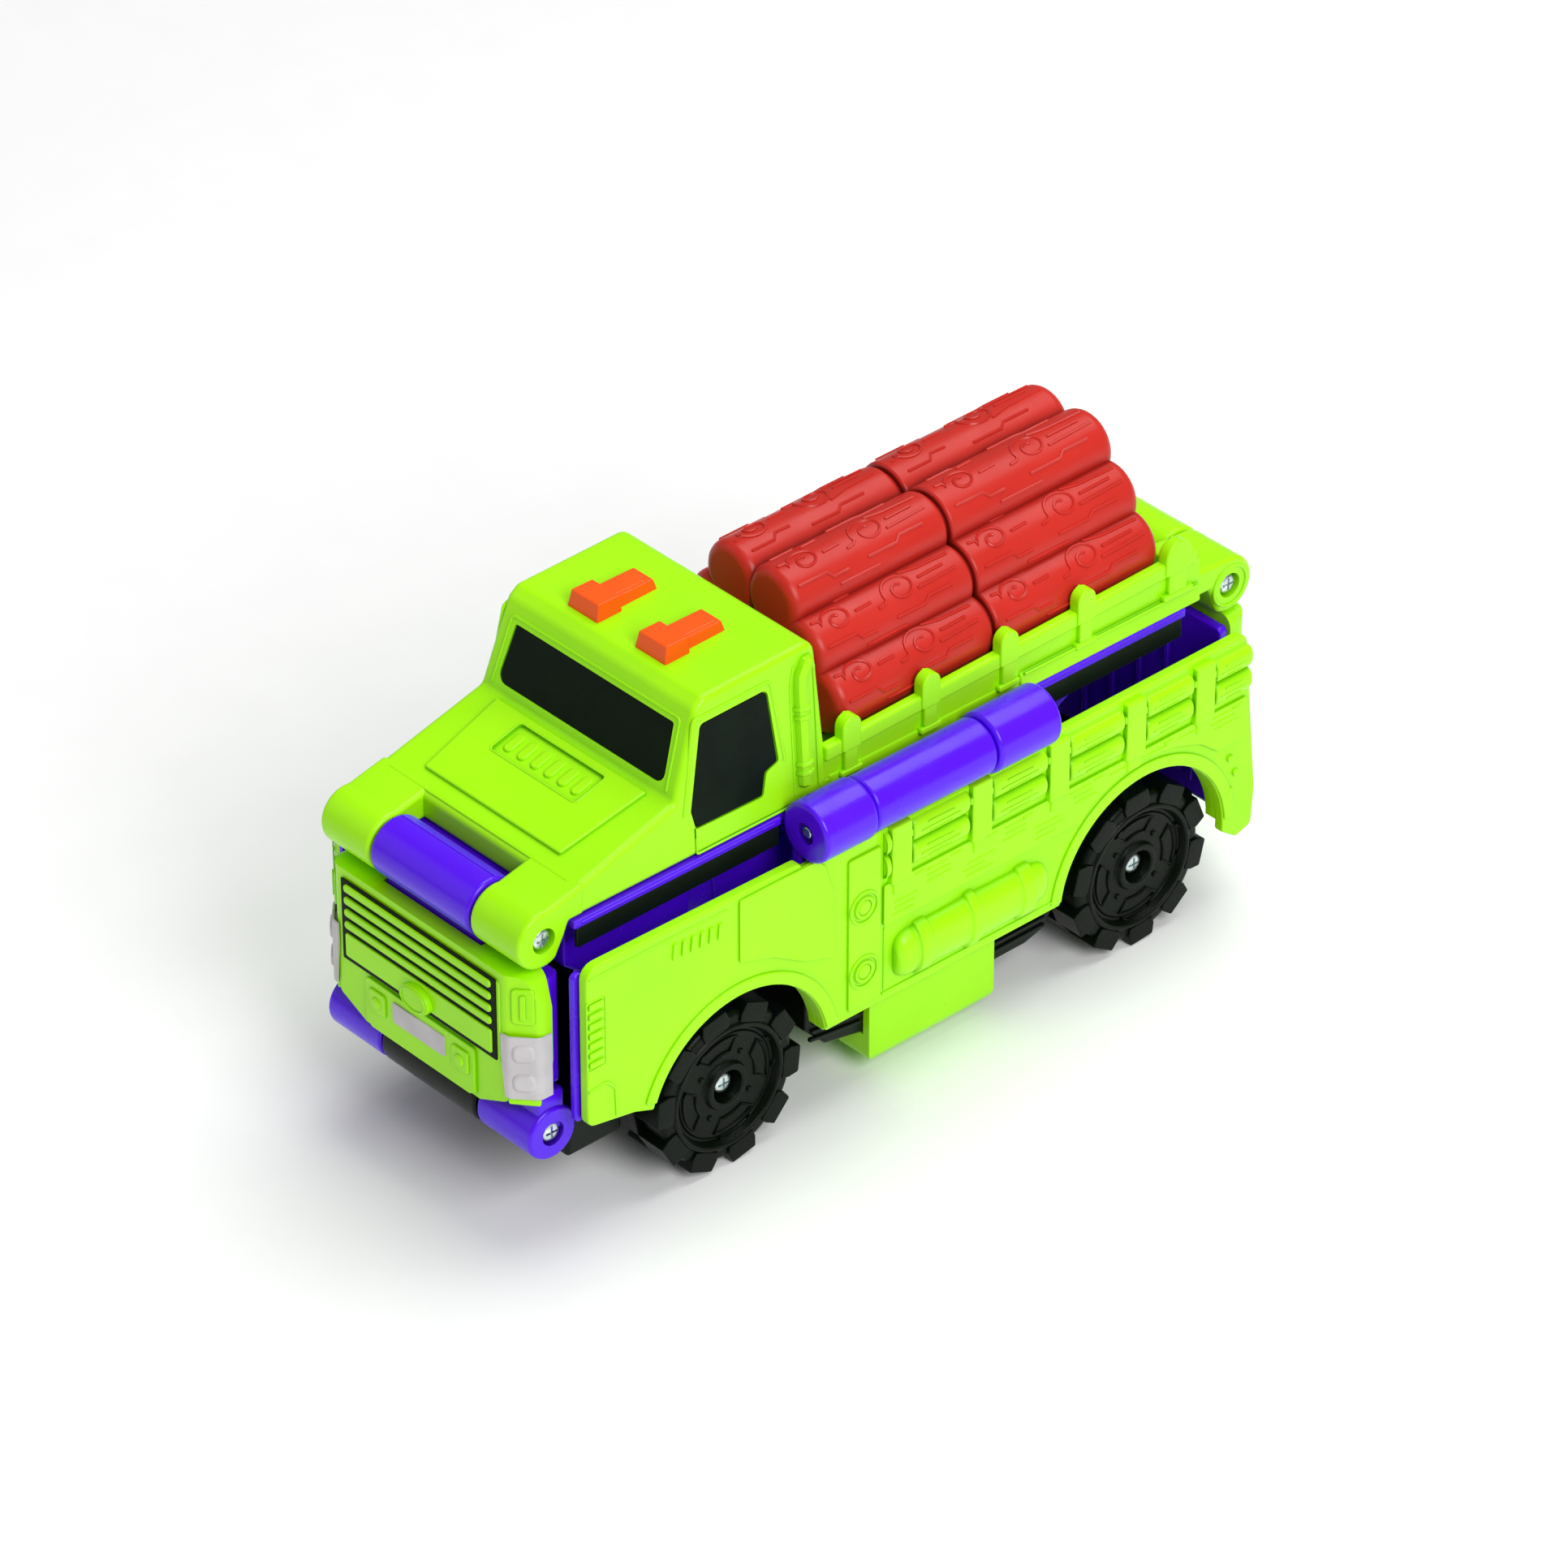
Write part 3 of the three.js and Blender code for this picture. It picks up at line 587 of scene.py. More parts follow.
def screwShape(length):
    # lies along +X with the outer face of its head at x = 0
    s = screwSizes
    reach, half = s["reach"], s["cross"] / 2
    profile = [(-s["tall"], 0), (-s["tall"], s["head"]), (-0.55, s["head"]), (-0.22, s["head"] * 0.86)]
    profile += [(-0.05, s["head"] * 0.55), (0, 0)]
    bars = [slab(boxOutline(-reach, reach, -half, half), -s["deep"], 1),
            slab(boxOutline(-half, half, -reach, reach), -s["deep"], 1)]
    head = combine(turned(profile, 0, 0, "x", 28), bars)
    shank = [(-length, 0), (-length + 1, s["shank"]), (-s["tall"], s["shank"]), (-s["tall"], 0)]
    return join(head, turned(shank, 0, 0, "x", 16))


def screwSet(name, places, rides, replaced):
    # places are (x of the head's face, y, z, length) on the +X side; each has its twin on the other side
    made = [both(moved(screwShape(length), x, y, z)) for x, y, z, length in places]
    makePiece(name, made, zinc, rides, replaced)


wheelSizes = {"radius": 15.5, "root": 14.1, "inner": 17.2, "outer": 28.7, "frontY": -40.5, "rearY": 51.2, "lugs": 10,
              "crown": 0.26, "foot": 0.35}  # a lug's half widths, as shares of the pitch
hinges = {"bumper": (-74.6, 21.5), "hood": (-75, 58.5), "tail": (75, 59)}
hingeSizes = {"bumper": 4.84, "hood": 5.2, "side": 5.4, "pin": 1.0, "seat": 2.25,
              "bumperClear": 5.15, "hoodClear": 5.75, "linerClear": 8.2, "tailClear": 7.2}

hubScrews = [(27.3, y, wheelSizes["radius"], 9.8) for y in (wheelSizes["frontY"], wheelSizes["rearY"])]
screwSet("chassisScrews", [*hubScrews, (24.8, *hinges["bumper"], 19.8)], "chassis",
         ["wheel_screw_front_left", "wheel_screw_front_right", "wheel_screw_rear_left", "wheel_screw_rear_right",
          "bumper_screw_left", "bumper_screw_right"])
screwSet("hoodScrews", [(24.0, *hinges["hood"], 19)], "front_panel", ["hood_screw_left", "hood_screw_right"])
screwSet("tailScrews", [(23.7, *hinges["tail"], 18.7)], "rear_panel", ["tail_screw_left", "tail_screw_right"])
print("screws made")


# wheels
def lugShape(low, high, reach):
    w = wheelSizes
    pitch = math.radians(360 / w["lugs"])
    spots = [(w["root"] - 0.6, -w["foot"]), (w["radius"], -w["crown"]), (w["radius"], w["crown"]),
             (w["root"] - 0.6, w["foot"]), (reach, w["foot"]), (reach, -w["foot"])]
    outline = [(-radius * math.sin(k * pitch), radius * math.cos(k * pitch)) for radius, k in spots]
    return slab(outline, low, high, alongX, 0.3, 2)


def wheelBody():
    w = wheelSizes
    face = w["outer"] - 0.45
    floor = face - 0.7
    profile = rounded([
        (w["inner"], 0), (w["inner"], w["root"] - 0.2, 0.8), (face, w["root"], 1.0), (face, 11.9, 0.4),
        (face + 0.45, 11.6, 0.3), (face + 0.45, 10.9, 0.35), (face - 1.0, 10.3, 0.3), (face - 1.0, 9.8, 0.2),
        (floor, 9.6, 0.2), (floor, 4.5, 0.3), (face + 0.1, 4.1, 0.25), (face + 0.1, 3.0, 0.3),
        (25.4, 2.55, 0.1), (25.4, 0)], 3, closed=False)
    pitch = 360 / w["lugs"]

    def around(body, count):
        return row(body, count, (0, 0, 0), tyre, turn=(2 * math.pi / count, 0, 0))

    kidney = arc(0, 0, 9.0, -28, 28, 10) + arc(0, 0, 6.4, 20, -20, 6)
    bump = rounded([(floor - 0.3, 0), (floor - 0.3, 0.62), (floor + 0.35, 0.5, 0.3), (floor + 0.4, 0)], 3, False)
    wedge = [(9.6, -3.3), (11.2, -1.2), (11.3, 1.2), (9.6, 3.3)]
    return join(turned(profile, 0, 0, "x", 72),
                around(lugShape(22.6, w["outer"], 11.95), w["lugs"]),
                around(spun(lugShape(w["inner"], 22.9, 12.8), pitch / 2), w["lugs"]),
                around(line(kidney, 0.28, alongX, floor + 0.05, loop=True), 4),
                around(turned(bump, 4.3, 4.3, "x", 14), 4),
                around(line(wedge, 0.22, alongX, floor + 0.02), 4))


def makeWheels():
    w = wheelSizes
    made = wheelBody()
    for end, lean in (("front", 12), ("rear", 4)):
        body = moved(spun(made.copy(), lean), 0, w[end + "Y"], w["radius"])
        rides = f"wheel_{end}_{{}}"
        makePair(f"tyre_{end}", body, tyre, rides, rides)


makeWheels()
print("wheels made")


# chassis
chassisSizes = {"half": 25.4, "belly": 27.0, "bellyFront": -8.5, "bellyRear": 19.5, "bellyLow": 2.6}


def makeChassis():
    half = chassisSizes["half"]
    sill = rounded([(-21.3, 15.4, 0.6), (-16.7, 10.7, 0.6), (-8.3, 9), (28, 9.2), (32.6, 10.4, 0.6), (34, 13, 0.6),
                    (34, 22), (-21.3, 22)], 3)
    tray = slab(sill, -half, half, alongX, 0.5)
    tray = combine(tray, [brick((-23.4, 23.4), (-18, 32), (11.6, 30))])
    beams = [brick((-wide, wide), y, z, soft) for wide, y, z, soft in (
        (13, (-69.1, -17.5), (9.5, 19), 0.6), (13, (31.5, 70.4), (9.5, 19), 0.6),
        (22, (-69.1, -57.5), (12, 19), 0.8), (22, (67.4, 70.4), (10, 19), 0.8))]
    y, z = hinges["bumper"]
    knuckle = barrel(-11.5, 11.5, hingeSizes["bumper"], y, z, "x", 0.6)
    neck = slab(rounded([(-74.6, 17.2), (-68.2, 17.2, 1), (-68.2, 22.4, 1), (-74.6, 22.4)]), -11.2, 11.2, alongX, 0.4)
    parts = [tray, *beams, knuckle, neck]
    for wheelY in (wheelSizes["frontY"], wheelSizes["rearY"]):
        for reach, radius, soft, sides in ((16.9, 4.4, 0.5, 32), (24.2, 2.4, 0.3, 24)):
            parts.append(barrel(-reach, reach, radius, wheelY, wheelSizes["radius"], "x", soft, sides))
    # step ribs along both sills, and stiffening ribs and screw bosses underneath
    rib = spun(brick((half - 0.3, half + 0.5), (-20.6, -9.2), (0, 0.7), 0.2), -8, about=(0, -15, 0))
    parts.append(both(row(rib, 3, (0, 0.4, 1.5), black, place=(0, 0, 12.2))))
    rib = brick((half - 0.3, half + 0.5), (20.5, 32.2), (0, 0.7), 0.2)
    parts.append(both(row(rib, 3, (0, 0, 1.5), black, place=(0, 0, 11.0))))
    for y in ((-66, -20), (34, 68)):
        parts.append(row(brick((-0.6, 0.6), y, (8.9, 9.8), 0.2), 5, (5, 0, 0), black, place=(-10, 0, 0)))
    bossSide = rounded([(8.2, 0), (8.2, 1.3), (8.2, 2.6, 0.4), (10, 2.6), (10, 0)], 3, False)
    for y in (-62, -24, 38, 64):
        boss = turned(bossSide, 0, y, "z", 28)
        parts.append(both(combine(boss, [rod(7, 9.2, 1.3, 0, y, 20, "z")])))
    makePiece("chassisPan", parts, black, "chassis", ["chassis_frame"])

    c = chassisSizes
    wide, low, front, rear = c["belly"], c["bellyLow"], c["bellyFront"], c["bellyRear"]
    section = rounded([(-wide, 17), (-wide, low, 2.8), (wide, low, 2.8), (wide, 17)], 6)
    side = rounded([(front, 17), (front, low, 3), (rear, low, 2), (rear, 17)], 6)
    block = crossed(slab(section, front - 1, rear + 1, alongY), slab(side, -40, 40), 1.7, 4, 60)
    block = combine(block, [brick((-25.5, 25.5), (front - 2, rear + 2), (8.7, 20))])
    lip = brick((-20, 20), (front + 3.5, rear - 3), (2.25, 3), 0.3)
    slot = brick((-18.5, 18.5), (-0.35, 0.35), (2.0, 3), 0.15)
    ribs = row(slot, 6, (0, 3, 0), lime, place=(0, -2, 0))
    makePiece("bellyBlock", [block, lip, ribs], lime, "chassis", ["belly_block"])


makeChassis()
print("chassis made")


# front panel
frontSizes = {"front": -80.2, "back": -74.2, "half": 25.0, "top": 52.4, "bottom": 25.0, "grilleHalf": 18.9,
              "grilleLow": 35.3, "grilleHigh": 51.0, "slats": 4}


def makeFrontPanel():
    f = frontSizes
    hoodY, hoodZ = hinges["hood"]
    y, z = hinges["bumper"]
    # purple side: plate, hood knuckle with its web, and two bumper knuckles with their arms
    plate = rounded([(-23.6, 30, 1), (-21, 26.8, 1), (21, 26.8, 1), (23.6, 30, 1), (23.6, 51.5, 1), (-23.6, 51.5, 1)])
    plate = combine(slab(plate, -73.9, -71.8, alongY, 0.4), [rod(-40, 40, hingeSizes["linerClear"], hoodY, hoodZ, 64)])
    web = slab(rounded([(-77.2, 47.8, 1), (-71.8, 47.8), (-71.8, 57), (-77.2, 57)]), -11.7, 11.7, alongX, 0.5)
    hoodKnuckle = barrel(-11.9, 11.9, hingeSizes["hood"], hoodY, hoodZ, "x", 0.7, 56)
    seam = line([(-11.2, 0), (11.2, 0)], 0.12, leaning((0, hoodY + 1.2, hoodZ + 5.06), (1, 0, 0), (0, 1, 0)))
    knuckle = combine(barrel(11.9, 25.1, hingeSizes["bumper"], y, z, "x", 0.7, 56), [rod(23.4, 26, 2.2, y, z)])
    arm = slab(rounded([(-77.3, 21.5), (-77.0, 29, 1), (-71.8, 29), (-71.8, 21.5)]), 12.0, 24.6, alongX, 0.5)
    ribs = row(brick((-0.5, 0.5), (-71.9, -71.2), (31, 48), 0.2), 7, (6.4, 0, 0), purple, place=(-19.2, 0, 0))
    makePiece("frontLiner", [plate, web, hoodKnuckle, seam, both(join(knuckle, arm)), ribs], purple, "front_panel",
              ["front_liner"])

    # lime side
    half, front, top, low = f["half"], f["front"], f["top"], f["bottom"]
    plan = rounded([(-half, f["back"]), (-half, -76.6, 2.2), (-20.6, front, 2.2), (20.6, front, 2.2),
                    (half, -76.6, 2.2), (half, f["back"])], 5)
    face = rounded([(-half, 35, 3), (-20.6, 28, 3), (-14, low, 1), (14, low, 1), (20.6, 28, 3), (half, 35, 3),
                    (half, 46), (23.4, top, 2.5), (-23.4, top, 2.5), (-half, 46)], 4)
    shell = crossed(slab(plan, 20, 60, alongZ), slab(face, -90, -70, alongY), 0.9, 3, 40)
    shell = combine(shell, [
        rod(-40, 40, hingeSizes["hoodClear"], hoodY, hoodZ, 72), brick((-12.0, 12.0), (-77.5, -70), (47, 62)),
        rod(-40, 40, hingeSizes["bumperClear"], y, z, 64), brick((-24.9, 24.9), (-77.7, -70), (18, 29.3))])
    on = leaning((0, f["front"], 0), (1, 0, 0), (0, 0, 1))
    relief = []
    # stepped apron round the number plate, with a boss pad on each side
    apron = rounded([(-13.4, 26), (-13.4, 34.6, 0.8), (13.4, 34.6, 0.8), (13.4, 26), (12, 25.2), (-12, 25.2)], 3)
    relief.append(slab(apron, -1, 0.55, on, 0.3))
    pad = slab(boxOutline(8.2, 12.2, 28.9, 33.2, 0.6), 0, 0.95, on, 0.25)
    dome = turned(rounded([(0.5, 0), (0.5, 1.25), (1.25, 1.1, 0.5), (1.35, 0)], 4, False), 10.2, 31, "z", 24)
    dome.transform(on)
    relief.append(both(join(pad, dome)))
    # raised field behind the grille, side posts and turn-lamp bars
    relief.append(slab(boxOutline(-19.6, 19.6, 35.0, 50.6, 0.8), -1, 0.22, on, 0.2))
    corner = leaning((22.85, -78.35, 0), (4.4, 3.6, 0), (0, 0, 1))
    pod = slab(boxOutline(-1.9, 1.9, 43.4, 50.2, 0.8), -0.8, 0.35, corner, 0.3)
    slot = slab(boxOutline(-0.5, 0.5, 44.4, 49.2, 0.4), -0.5, 0.65, corner, 0.2)
    relief.append(both(join(pod, slot)))
    # lower lip under the lamp
    sill = slab(boxOutline(-2.6, 2.6, 27.8, 29.2, 0.4), -0.8, 0.3, corner, 0.25)
    relief.append(both(sill))
    makePiece("frontFascia", [shell, *relief], lime, "front_panel", ["front_fascia"])

    # grille: a dark printed field with rounded lime bars standing through it
    high, low, half = f["grilleHigh"], f["grilleLow"], f["grilleHalf"]
    sheet = slab(boxOutline(-half, half, low, high - 0.1, 0.3), 0.15, 0.42, on, 0.06, 1)
    makePiece("grilleSheet", [sheet], darkFoil, "front_panel", ["grille_frame"])
    pitch = (high - low - 6.3) / f["slats"]
    bar = slab(boxOutline(-half + 1.0, half - 1.0, 0.47, pitch - 0.47, 0.6), 0.2, 0.85, on, 0.25)
    bars = row(bar, f["slats"], (0, 0, pitch), lime, place=(0, 0, low + 6.0))
    field = slab(boxOutline(-half + 1.0, half - 1.0, low + 0.95, low + 5.45, 0.5), 0.2, 0.72, on, 0.2)
    makePiece("grilleBars", [bars, field], lime, "front_panel")

    outline = oval(0, 0, 3.6, 2.5, 40)
    at = leaning((0, f["front"], low + 2.2), (1, 0, 0), (0, 0, 1))
    disc = slab(outline, 0.2, 1.75, at, 0.35)
    rim = bead(drawn([(a * 0.82, b * 0.78) for a, b in outline], 1.75, at), 0.2, True)
    makePiece("badgeDisc", [disc, rim], lime, "front_panel", ["badge_disc"])
    plateBody = slab(boxOutline(-6.4, 6.4, 29.4, 33.3, 0.35), 0.4, 0.82, on, 0.1, 2)
    makePiece("numberPlate", [plateBody], paleFoil, "front_panel", ["licence_plate"])

    # lamp covers wrap the lower corners and carry two raised lenses each
    wrap = rounded([(19.9, -80.75), (21.6, -80.6, 1.8), (25.4, -77.2, 2.0), (25.45, -74.6), (25.05, -74.6),
                    (25.0, -77.0, 1.6), (21.4, -80.2, 1.4), (19.9, -80.3)], 5)
    cover = slab(wrap, 29.3, 41.3, alongZ, 0.12, 1)
    trim = combine(cover, [slab([(19.0, 28), (20.9, 28), (19.6, 42), (19.0, 42)], -84, -70, alongY)])
    lens = boxOutline(-2.35, 2.35, -2.1, 2.1, 1.5, 6)
    small = [(a * 0.7, b * 0.7) for a, b in lens]
    lenses = []
    for height in (38.2, 32.6):
        spot = leaning((23.1, -78.5, height), (4.3, 3.9, 0), (0, 0, 1))
        lenses.append(loft(lens, small, -0.3, 1.0, spot, 0.4))
    lamp = join(trim, *lenses)
    makePair("lampCover", lamp, paleFoil, "front_panel", "headlamp_{}")


makeFrontPanel()
print("front panel made")


# top: hood, cab and log bed
cabSizes = {"low": 59.7, "roof": 88.0, "sillHalf": 24.3, "roofHalf": 22.4, "front": -68.6, "lip": 64.7,
            "soft": 1.5, "window": 0.3}
hoodPlane = leaning((0, -68.6, 64.7), (1, 0, 0), (0, 21.2, 6.1))
screenPlane = leaning((0, -47.1, 70.9), (1, 0, 0), (0, 4.7, 13.7))
flankPlane = leaning((24.3, 0, 59.7), (0, 1, 0), (-1.9, 0, 28.3))
windowOutline = [(-43.7, 8.6, 0.8), (-41.0, 23.1, 0.8), (-27.2, 23.4, 1.2), (-25.6, 9.8, 0.5), (-28.3, 8.9, 0.9),
                 (-29.1, 4.9, 0.5), (-42.9, 5.1, 0.4)]
screenOutline = [(-19.8, 1.9, 1.6), (19.8, 1.9, 1.6), (18.7, 12.1, 0.3), (-18.7, 12.1, 0.3)]


def grown(points, by):
    # an outline moved out from its middle by about that much
    middle = Vector((sum(p[0] for p in points) / len(points), sum(p[1] for p in points) / len(points)))
    made = []
    for point in points:
        away = Vector(point[:2]) - middle
        spot = Vector(point[:2]) + away.normalized() * by
        made.append((spot.x, spot.y, point[2] + by * 0.5))
    return made


def makeCab():
    c = cabSizes
    side = rounded([(c["front"], c["low"]), (c["front"], c["lip"], 1.5), (-47.1, 70.9, 1.2), (-42.0, 85.8, 2.6),
                    (-40.0, 87.4, 2.0), (-16.6, c["roof"], 2.4), (-14.8, c["low"])], 5)
    sill, roof = c["sillHalf"], c["roofHalf"]
    section = [(-sill, c["low"]), (-roof, c["roof"] + 1), (roof, c["roof"] + 1), (sill, c["low"])]
    cab = crossed(slab(side, -30, 30), slab(section, -90, 0, alongY), c["soft"], 4, 42)
    screenCut = slab(rounded(grown(screenOutline, c["window"]), 4), -0.5, 3, screenPlane)
    windowCut = slab(rounded(grown(windowOutline, c["window"]), 4), -0.45, 3, flankPlane)
    doorGap = slab(boxOutline(-43.5, -43.15, -1, 5.2), -0.5, 3, flankPlane)
    cab = combine(cab, [screenCut, windowCut, flipped(windowCut), doorGap, flipped(doorGap)])

    hoodPanel = slab([(-16.4, 4.06), (16.4, 4.06), (18.0, 21.4), (-18.0, 21.4)], -0.6, 0.6, hoodPlane, 0.35)
    vent = boxOutline(-10.4, 10.4, 12.8, 19.8, 0.9)
    hoodPanel = combine(hoodPanel, [slab(vent, -0.25, 2, hoodPlane)])
    ventFloor = slab(boxOutline(-10.5, 10.5, 12.7, 19.9), -0.6, -0.2, hoodPlane)
    louvre = slab(boxOutline(-0.95, 0.95, 14.2, 18.4, 0.9), -0.3, 0.45, hoodPlane, 0.3)
    louvres = row(louvre, 6, (3.25, 0, 0), lime, place=(-8.12, 0, 0))
    ventRim = line([(-10.4, 12.8), (10.4, 12.8), (10.4, 19.8), (-10.4, 19.8)], 0.16, hoodPlane, 0.58, True, 0.8)

    # raised lines: window frames, screen frame, sill line under the door, hood shoulder
    frameLine = [(-45.4, 8.4), (-42.4, 24.6), (-26.4, 25.0), (-24.1, 9.4)]
    screenLine = [(-21.0, 1.2), (-20.1, 13.3), (20.1, 13.3), (21.0, 1.2)]
    sillLine = [(-43.2, 3.2), (-43.2, 0.4), (-21.5, 0.4)]
    lines = [both(line(frameLine, 0.35, flankPlane, -0.08, corner=1.2)),
             line(screenLine, 0.3, screenPlane, -0.08, corner=0.8),
             both(line(sillLine, 0.22, flankPlane, -0.02, corner=0.4)),
             line([(-21.6, 1.0), (21.6, 1.0)], 0.3, hoodPlane, -0.05)]

    # breather pipe up each rear corner, with two pairs of rings
    pipe = line([(-20.2, 3.6), (-20.2, 21.5), (-20.0, 23.4), (-18.6, 25.6)], 1.45, flankPlane, 0.0)
    rings = [line([(-20.2, at), (-20.2, at + 0.5)], 1.72, flankPlane, 0.0) for at in (5.6, 7.2, 15.8, 17.4)]
    groove = line([(-22.3, 2.0), (-22.3, 22.0), (-21.4, 25.4)], 0.25, flankPlane, -0.02)
    rear = line([(-17.2, 2.0), (-17.2, 24.0)], 0.3, flankPlane, -0.02)
    makePiece("cabShell", [cab, hoodPanel, ventFloor, ventRim, *lines, both(join(pipe, *rings, groove, rear))], lime,
              "top_module", ["top_shell"])
    makePiece("hoodLouvres", [louvres], lime, "top_module")

    screen = slab(rounded(screenOutline, 5), -0.5, -0.1, screenPlane, 0.06, 1)
    makePiece("windscreenFoil", [screen], darkFoil, "top_module", ["windscreen"])
    pane = slab(rounded(windowOutline, 5), -0.5, -0.08, flankPlane, 0.06, 1)
    makePair("windowFoil", pane, darkFoil, "top_module", "side_window_{}")


# a roof light's three tapered blocks: half width, y range and half width, y range at the top; z range; softness
roofLightX = 8.1
roofLightBlocks = (
    ((3.7, -38.6, -33.2), (3.3, -37.9, -33.5), (87.2, 90.4), 0.28),
    ((2.8, -34, -25.0), (2.4, -34, -25.6), (87.4, 89.6), 0.25),
    ((2.2, -33.6, -26.2), (1.9, -33.6, -26.6), (89.4, 89.85), 0.15),
)


def makeRoofLights():
    at = roofLightX
    blocks = []
    for foot, top, (low, high), soft in roofLightBlocks:
        outlines = [boxOutline(at - half, at + half, y0, y1) for half, y0, y1 in (foot, top)]
        blocks.append(loft(*outlines, low, high, alongZ, soft))
    makePair("roofLight", join(*blocks), orange, "top_module", "roof_light_{}")


railSizes = {"inner": 22.7, "outer": 24.5, "frontTop": 68.1, "rearTop": 70.3, "front": -16.0, "rear": 66.6,
             "firstPost": -10.8, "postPitch": 17.25, "posts": 4, "rise": 3.7}


def railTop(y):
    r = railSizes
    return r["frontTop"] + (r["rearTop"] - r["frontTop"]) * (y - r["front"]) / (r["rear"] - r["front"])


def postShape(y, rise, wide=2.0):
    top = railTop(y)
    post = slab(rounded([(y - wide, top - 2.6, 0.5), (y + wide, top - 2.6, 0.5), (y + wide, top + rise, wide),
                         (y - wide, top + rise, wide)], 5), 22.8, 25.1, alongX, 0.45)
    strap = slab(boxOutline(y - wide * 0.72, y + wide * 0.72, top - 6.4, top, 0.4), 23.5, 25.0, alongX, 0.35)
    foot = slab(boxOutline(y - wide * 1.15, y + wide * 1.15, top - 7.2, top - 6.0, 0.4), 23.5, 25.2, alongX, 0.3)
    return join(post, strap, foot)


def makeBed():
    r = railSizes
    low = cabSizes["low"]
    floor = brick((-24.2, 24.2), (-16, 67.8), (low, low + 2), 0.4)
    front, rear = r["front"], r["rear"]
    rail = slab(rounded([(front, railTop(front) - 2.9), (rear, railTop(rear) - 2.9, 0.6), (rear, railTop(rear), 1.2),
                         (front, railTop(front))]), 22.7, 24.7, alongX, 0.5)
    web = [(front, low), (rear + 1, low), (rear + 1, railTop(rear) - 2.5), (front, railTop(front) - 2.5)]
    web = slab(web, 22.9, 24.05)
    ledge = slab(rounded([(0, low), (24.9, low, 0.4), (24.5, low + 3.4, 0.7), (0, low + 3.4)]), 26.6, 67.4, alongY, 0.4)
    shelf = rounded([(0, low), (24.35, low, 0.3), (24.25, low + 2.6, 0.5), (0, low + 2.6)])
    shelf = slab(shelf, -15, 27.2, alongY, 0.3)
    ledgeLine = bead([(24.72, 27.4, low + 3.2), (24.72, 67, low + 3.2)], 0.25)
    posts = row(postShape(r["firstPost"], r["rise"]), r["posts"],
                (0, r["postPitch"], railTop(r["postPitch"]) - railTop(0)), lime)
    last = postShape(61.9, r["rise"] - 0.2, 2.9)
    makePiece("railPosts", [both(join(posts, last))], lime, "top_module")
    hollow = brick((-22.2, 22.2), (-14, 66), (low + 1.5, 80))
    sides = combine(both(ledge), [hollow])
    tailboard = brick((-23.6, 23.6), (65.8, 67.8), (low, 65.2), 0.6)
    slats = row(brick((-22, 22), (67.4, 68.3), (0, 1.0), 0.3), 3, (0, 0, 1.7), lime, place=(0, 0, low + 0.6))
    makePiece("logBed", [floor, both(join(rail, web, shelf, ledgeLine)), sides, tailboard, slats], lime, "top_module")


def makeEars():
    radius = hingeSizes["hood"]
    ears = []
    for hinge, start, end, before, after, inner, outer, seat in (
            ("hood", 80, 300, [], [(-70.6, 57.4), (-69.6, 59.7), (-66.4, 59.7), (-66.4, 65.4)], 12.3, 24.3, 22.6),
            ("tail", -120, 92, [(66.2, 59.7), (70.4, 59.7), (71.4, 57.4)], [(66.2, 64.9)], 12.2, 24, 22.3)):
        y, z = hinges[hinge]
        outline = before + arc(y, z, radius, start, end, 22) + after
        ears.append(combine(slab(outline, inner, outer, alongX, 0.9, 4), [rod(seat, 26, hingeSizes["seat"], y, z)]))
    ears.append(bead(drawn(oval(y, z, 3.7, 3.7, 44), 24.0, alongX), 0.28, True))
    makePiece("hingeEars", [both(join(*ears))], lime, "top_module")


makeCab()
makeRoofLights()
makeBed()
makeEars()
print("cab and bed made")


# purple deck with the second cab under it
deckSizes = {"half": 25.0, "front": -69.3, "rear": 63.9, "low": 58.1, "high": 59.5, "hingeX": 30.0, "hingeZ": 58.7,
             "gapFront": -14.3, "gapRear": 12.3, "endFront": -25.5, "endRear": 26.0}


